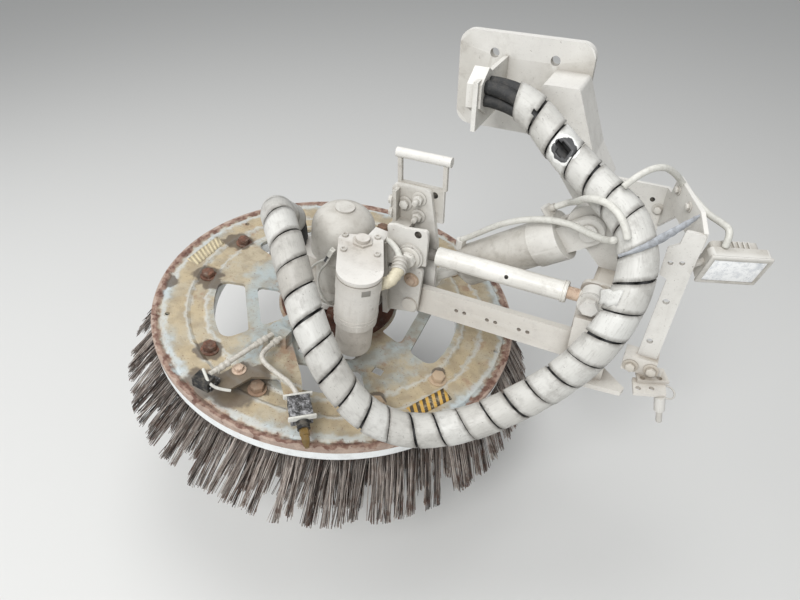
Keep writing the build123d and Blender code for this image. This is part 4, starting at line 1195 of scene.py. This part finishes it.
class SIDEBROOM_OT_spray(bpy.types.Operator):
    """Makes the water spray's pipes, ferrules, holders and brass tip"""
    bl_idname = "sidebroom.spray"
    bl_label = "Water spray"

    def execute(self, context):
        for name, node, route in pipes:
            line = [on_disc(x, y, pipe_height) for x, y in route]
            pipe, _ = tube_piece(name, line, pipe_radius, 16, "drive", "scuffed")
            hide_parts(node)
        for k, route in enumerate(ferrules):
            line = [on_disc(x, y, pipe_height) for x, y in route]
            tube_piece("ferrule_" + str(k + 1), line, ribbed(5.0, 0.35, 9), 18, "drive", "scuffed",
                       MM)
        flat_ways = (ALONG, ACROSS, UP)
        block("left_holder", (26, 17, 17), on_disc(-53, -277, 31), flat_ways, 3, 2, "drive", "brass", "black")
        block("left_seat", (15, 21, 9), on_disc(-47, -270, 24), flat_ways, 2, 1.5, "drive", "brass",
              "mottled")
        line = [on_disc(*point) for point in clip_route]
        tube_piece("left_clip", line, 2.2 * MM, 12, "drive", "nylon")
        turn = math.radians(-47.5)
        way = ALONG * math.cos(turn) + ACROSS * math.sin(turn)
        ways = (way, UP.cross(way), UP)
        middle = on_disc(86, -251, 34)
        block("front_holder", (34, 30, 22), middle, ways, 4, 3, "drive", "brass", "mottled")
        for name, along, wide in (("front_strip", -19, 40), ("front_flange", 19, 38)):
            place = middle + (way * along + UP * 7) * MM
            block(name, (3.5, wide, 9), place, ways, 1.5, 0, "drive", "brass", "nylon")
        start = middle + way * 20 * MM
        tip_way = (way * 0.93 - UP * 0.2).normalized()
        for name, marks, radius, sides, finish in (
                ("nozzle_collar", (0, 5, 11), ribbed(8.4, 0.5, 5), 20, "black"),
                ("nozzle_tip", (9, 17, 27, 37), brass_tip_radius, 6, "brass")):
            line = [start + tip_way * mark * MM for mark in marks]
            tube_piece(name, line, radius, sides, "drive", finish, MM)
        return {"FINISHED"}


class SIDEBROOM_OT_lamp(bpy.types.Operator):
    """Makes the lamp's frame, glass and fins"""
    bl_idname = "sidebroom.lamp"
    bl_label = "Lamp trim"

    def execute(self, context):
        out = Vector((0.374, -0.885, -0.278)).normalized()
        across = Vector((0.914, 0.402, -0.049))
        across = (across - out * across.dot(out)).normalized()
        up = out.cross(across)
        ways = (across, up, out)
        face = at(546, 7, 228)
        housing = ("pylon", "lamp_housing")
        frame_piece = block("lamp_frame", (72, 48, 5), face - out * 1.6 * MM, ways, 2.0, 0, *housing, "paint")
        front = [side for side in frame_piece.data.polygons if side.normal.dot(out) > 0.9]
        widest = max(front, key=lambda side: side.area).index
        sunk(frame_piece, lambda side: side.index == widest, 3.5 * MM, -out * 3 * MM)
        block("lamp_glass", (66, 42, 1.8), face - out * 0.8 * MM, ways, 0.5, 0, *housing, "lamp_glass")
        fins = 6
        for k in range(fins):
            place = face - out * 22.5 * MM + across * (k - (fins - 1) / 2) * 6 * MM + up * 18.5 * MM
            block("lamp_fin_" + str(k + 1), (1.8, 4, 13), place, ways, 0.5, 0, *housing, "paint")
        return {"FINISHED"}


def sticker(name, corners, columns, rows, material):
    """A sticker laid on the broom's disc between four corners, following its pressed shape."""
    points, lies, faces = [], [], []
    over_disc, off_disc = 4, 0.3 * MM
    for i in range(columns + 1):
        for k in range(rows + 1):
            u, v = i / columns, k / rows
            x, y = [(1 - v) * ((1 - u) * corners[0][n] + u * corners[1][n]) + v * (
                (1 - u) * corners[3][n] + u * corners[2][n]) for n in (0, 1)]
            place, _ = on_face("broom_disc", on_disc(x, y, over_disc), UP)
            points.append(place + UP * off_disc)
            lies += [u, v, 0.0]
            if i and k:
                a = (i - 1) * (rows + 1) + k - 1
                faces.append((a, a + 1, a + rows + 2, a + rows + 1))
    piece = mesh_piece(name, points, faces)
    attributes(piece, "FLOAT_VECTOR", {"sticker_lie": lies})
    if piece.data.polygons[0].normal.dot(UP) < 0:
        piece.data.flip_normals()
    apply_modifier(piece, "SOLIDIFY", thickness=0.2 * MM, offset=1.0)
    return seated(piece, "broom", FINISHES[material])


class SIDEBROOM_OT_trim(bpy.types.Operator):
    """Makes the stickers and the strap"""
    bl_idname = "sidebroom.trim"
    bl_label = "Trim"

    def execute(self, context):
        faded = ((-275, -58), (-275, 24), (-252, 15), (-250, -60))
        striped = ((200, -148), (232, -85), (252, -97), (220, -156))
        sticker("faded_sticker", faded, 14, 4, "cream_stripes")
        sticker("striped_sticker", striped, 12, 4, "yellow_stripes")
        sweep = Sweep(route_line([at(*point) for point in strap_route]), 2 * MM)
        points, faces = [], []
        last = len(sweep.places) - 1
        first_lie, last_lie = Vector((0.2, -1, 0.3)), Vector((0.6, -0.7, 0.9))
        for i, (place, way) in enumerate(zip(sweep.places, sweep.ways)):
            share = i / last
            lie = way.cross(first_lie.lerp(last_lie, share)).normalized()
            wide = (1.6 + 2.9 * math.sin(math.pi * share) ** 1.4 + 0.9 * noise.noise(place * 120)) * MM
            fold = way.cross(lie) * 2.2 * MM * noise.noise(place * 150)
            points += [place - lie * wide, place + fold, place + lie * wide]
            if i:
                for a in (i * 3 - 3, i * 3 - 2):
                    faces.append((a, a + 1, a + 4, a + 3))
        strap = mesh_piece("strap", points, faces)
        apply_modifier(strap, "SOLIDIFY", thickness=1.1 * MM, offset=0.0)
        seated(strap, "pylon", FINISHES["strap"])
        return {"FINISHED"}


floor_height = -0.70
floor_width = 30
sky_strength = 0.42

# name, place, width, power and aim of each light
lights = (
    ("key", (0.2, -2.2, 1.7), 1.3, 58, (0, 0, -0.3)),
    ("top", (-0.5, 0.3, 2.6), 2.0, 30, (-0.1, -0.1, -0.3)),
    ("fill", (-2.2, -1.0, 1.0), 1.4, 14, (0.1, -0.1, -0.2)),
)
camera_place = at(444.8, -673.8, 639.8)
camera_turn = math.radians(26)
camera_fall = math.radians(38.7)


class SIDEBROOM_OT_stage(bpy.types.Operator):
    """Makes the floor, the lights and the camera"""
    bl_idname = "sidebroom.stage"
    bl_label = "Stage"

    def execute(self, context):
        scene = context.scene
        bpy.ops.mesh.primitive_plane_add(size=floor_width, location=(0, 0, floor_height))
        floor = context.object
        floor.name = "floor"
        floor_paint, _, shader, _ = new_material("pale_floor")
        shader.inputs["Base Color"].default_value = linear("#D9D9D7")
        shader.inputs["Roughness"].default_value = 0.9
        floor.data.materials.append(floor_paint)
        world = bpy.data.worlds.new("soft_sky")
        scene.world = world
        world.use_nodes = True
        background = world.node_tree.nodes["Background"]
        background.inputs["Color"].default_value = linear("#F4F6F8")
        background.inputs["Strength"].default_value = sky_strength
        for name, place, width, power, target in lights:
            bpy.ops.object.light_add(type="AREA", location=place)
            lamp = context.object
            lamp.name = name
            lamp.data.shape = "DISK"
            lamp.data.size = width
            lamp.data.energy = power
            lamp.rotation_euler = (Vector(target) - Vector(place)).to_track_quat("-Z", "Y").to_euler()
        right = Vector((math.cos(camera_turn), math.sin(camera_turn), 0))
        level = Vector((-math.sin(camera_turn), math.cos(camera_turn), 0))
        forward = level * math.cos(camera_fall) - Vector((0, 0, math.sin(camera_fall)))
        bpy.ops.object.camera_add()
        camera = context.object
        turned = Matrix((right, right.cross(forward), -forward)).transposed().to_4x4()
        camera.matrix_world = Matrix.Translation(camera_place) @ turned
        camera.data.lens = 27
        camera.data.sensor_width = 36
        camera.data.clip_start = 0.05
        scene.camera = camera
        scene.view_settings.view_transform = "Standard"
        return {"FINISHED"}


class SIDEBROOM_PT_panel(bpy.types.Panel):
    """Lists the steps that dress the side broom"""
    bl_label = "Side Broom"
    bl_space_type = "VIEW_3D"
    bl_region_type = "UI"
    bl_category = "Side Broom"

    def draw(self, context):
        for group in (context.scene.side_broom_sizes, context.scene.side_broom_colours):
            for key in group.bl_rna.properties.keys():
                if key not in ("rna_type", "name"):
                    self.layout.prop(group, key)
        for step in STEPS:
            self.layout.operator(step.bl_idname)


STEPS = (SIDEBROOM_OT_finishes, SIDEBROOM_OT_bundle, SIDEBROOM_OT_small_hoses, SIDEBROOM_OT_wires,
         SIDEBROOM_OT_fasteners, SIDEBROOM_OT_fittings, SIDEBROOM_OT_spray, SIDEBROOM_OT_lamp,
         SIDEBROOM_OT_trim, SIDEBROOM_OT_stage)
CLASSES = (SideBroomSizes, SideBroomColours) + STEPS + (SIDEBROOM_PT_panel,)


def register():
    for each in CLASSES:
        bpy.utils.register_class(each)
    bpy.types.Scene.side_broom_sizes = bpy.props.PointerProperty(type=SideBroomSizes)
    bpy.types.Scene.side_broom_colours = bpy.props.PointerProperty(type=SideBroomColours)


def unregister():
    del bpy.types.Scene.side_broom_colours
    del bpy.types.Scene.side_broom_sizes
    for each in reversed(CLASSES):
        bpy.utils.unregister_class(each)


def main():
    bpy.ops.object.select_all(action="DESELECT")
    register()
    bpy.ops.sidebroom.finishes()
    bpy.ops.sidebroom.bundle()
    bpy.ops.sidebroom.small_hoses()
    bpy.ops.sidebroom.wires()
    bpy.ops.sidebroom.fasteners()
    bpy.ops.sidebroom.fittings()
    bpy.ops.sidebroom.spray()
    bpy.ops.sidebroom.lamp()
    bpy.ops.sidebroom.trim()
    bpy.ops.sidebroom.stage()


if __name__ == "__main__":
    main()
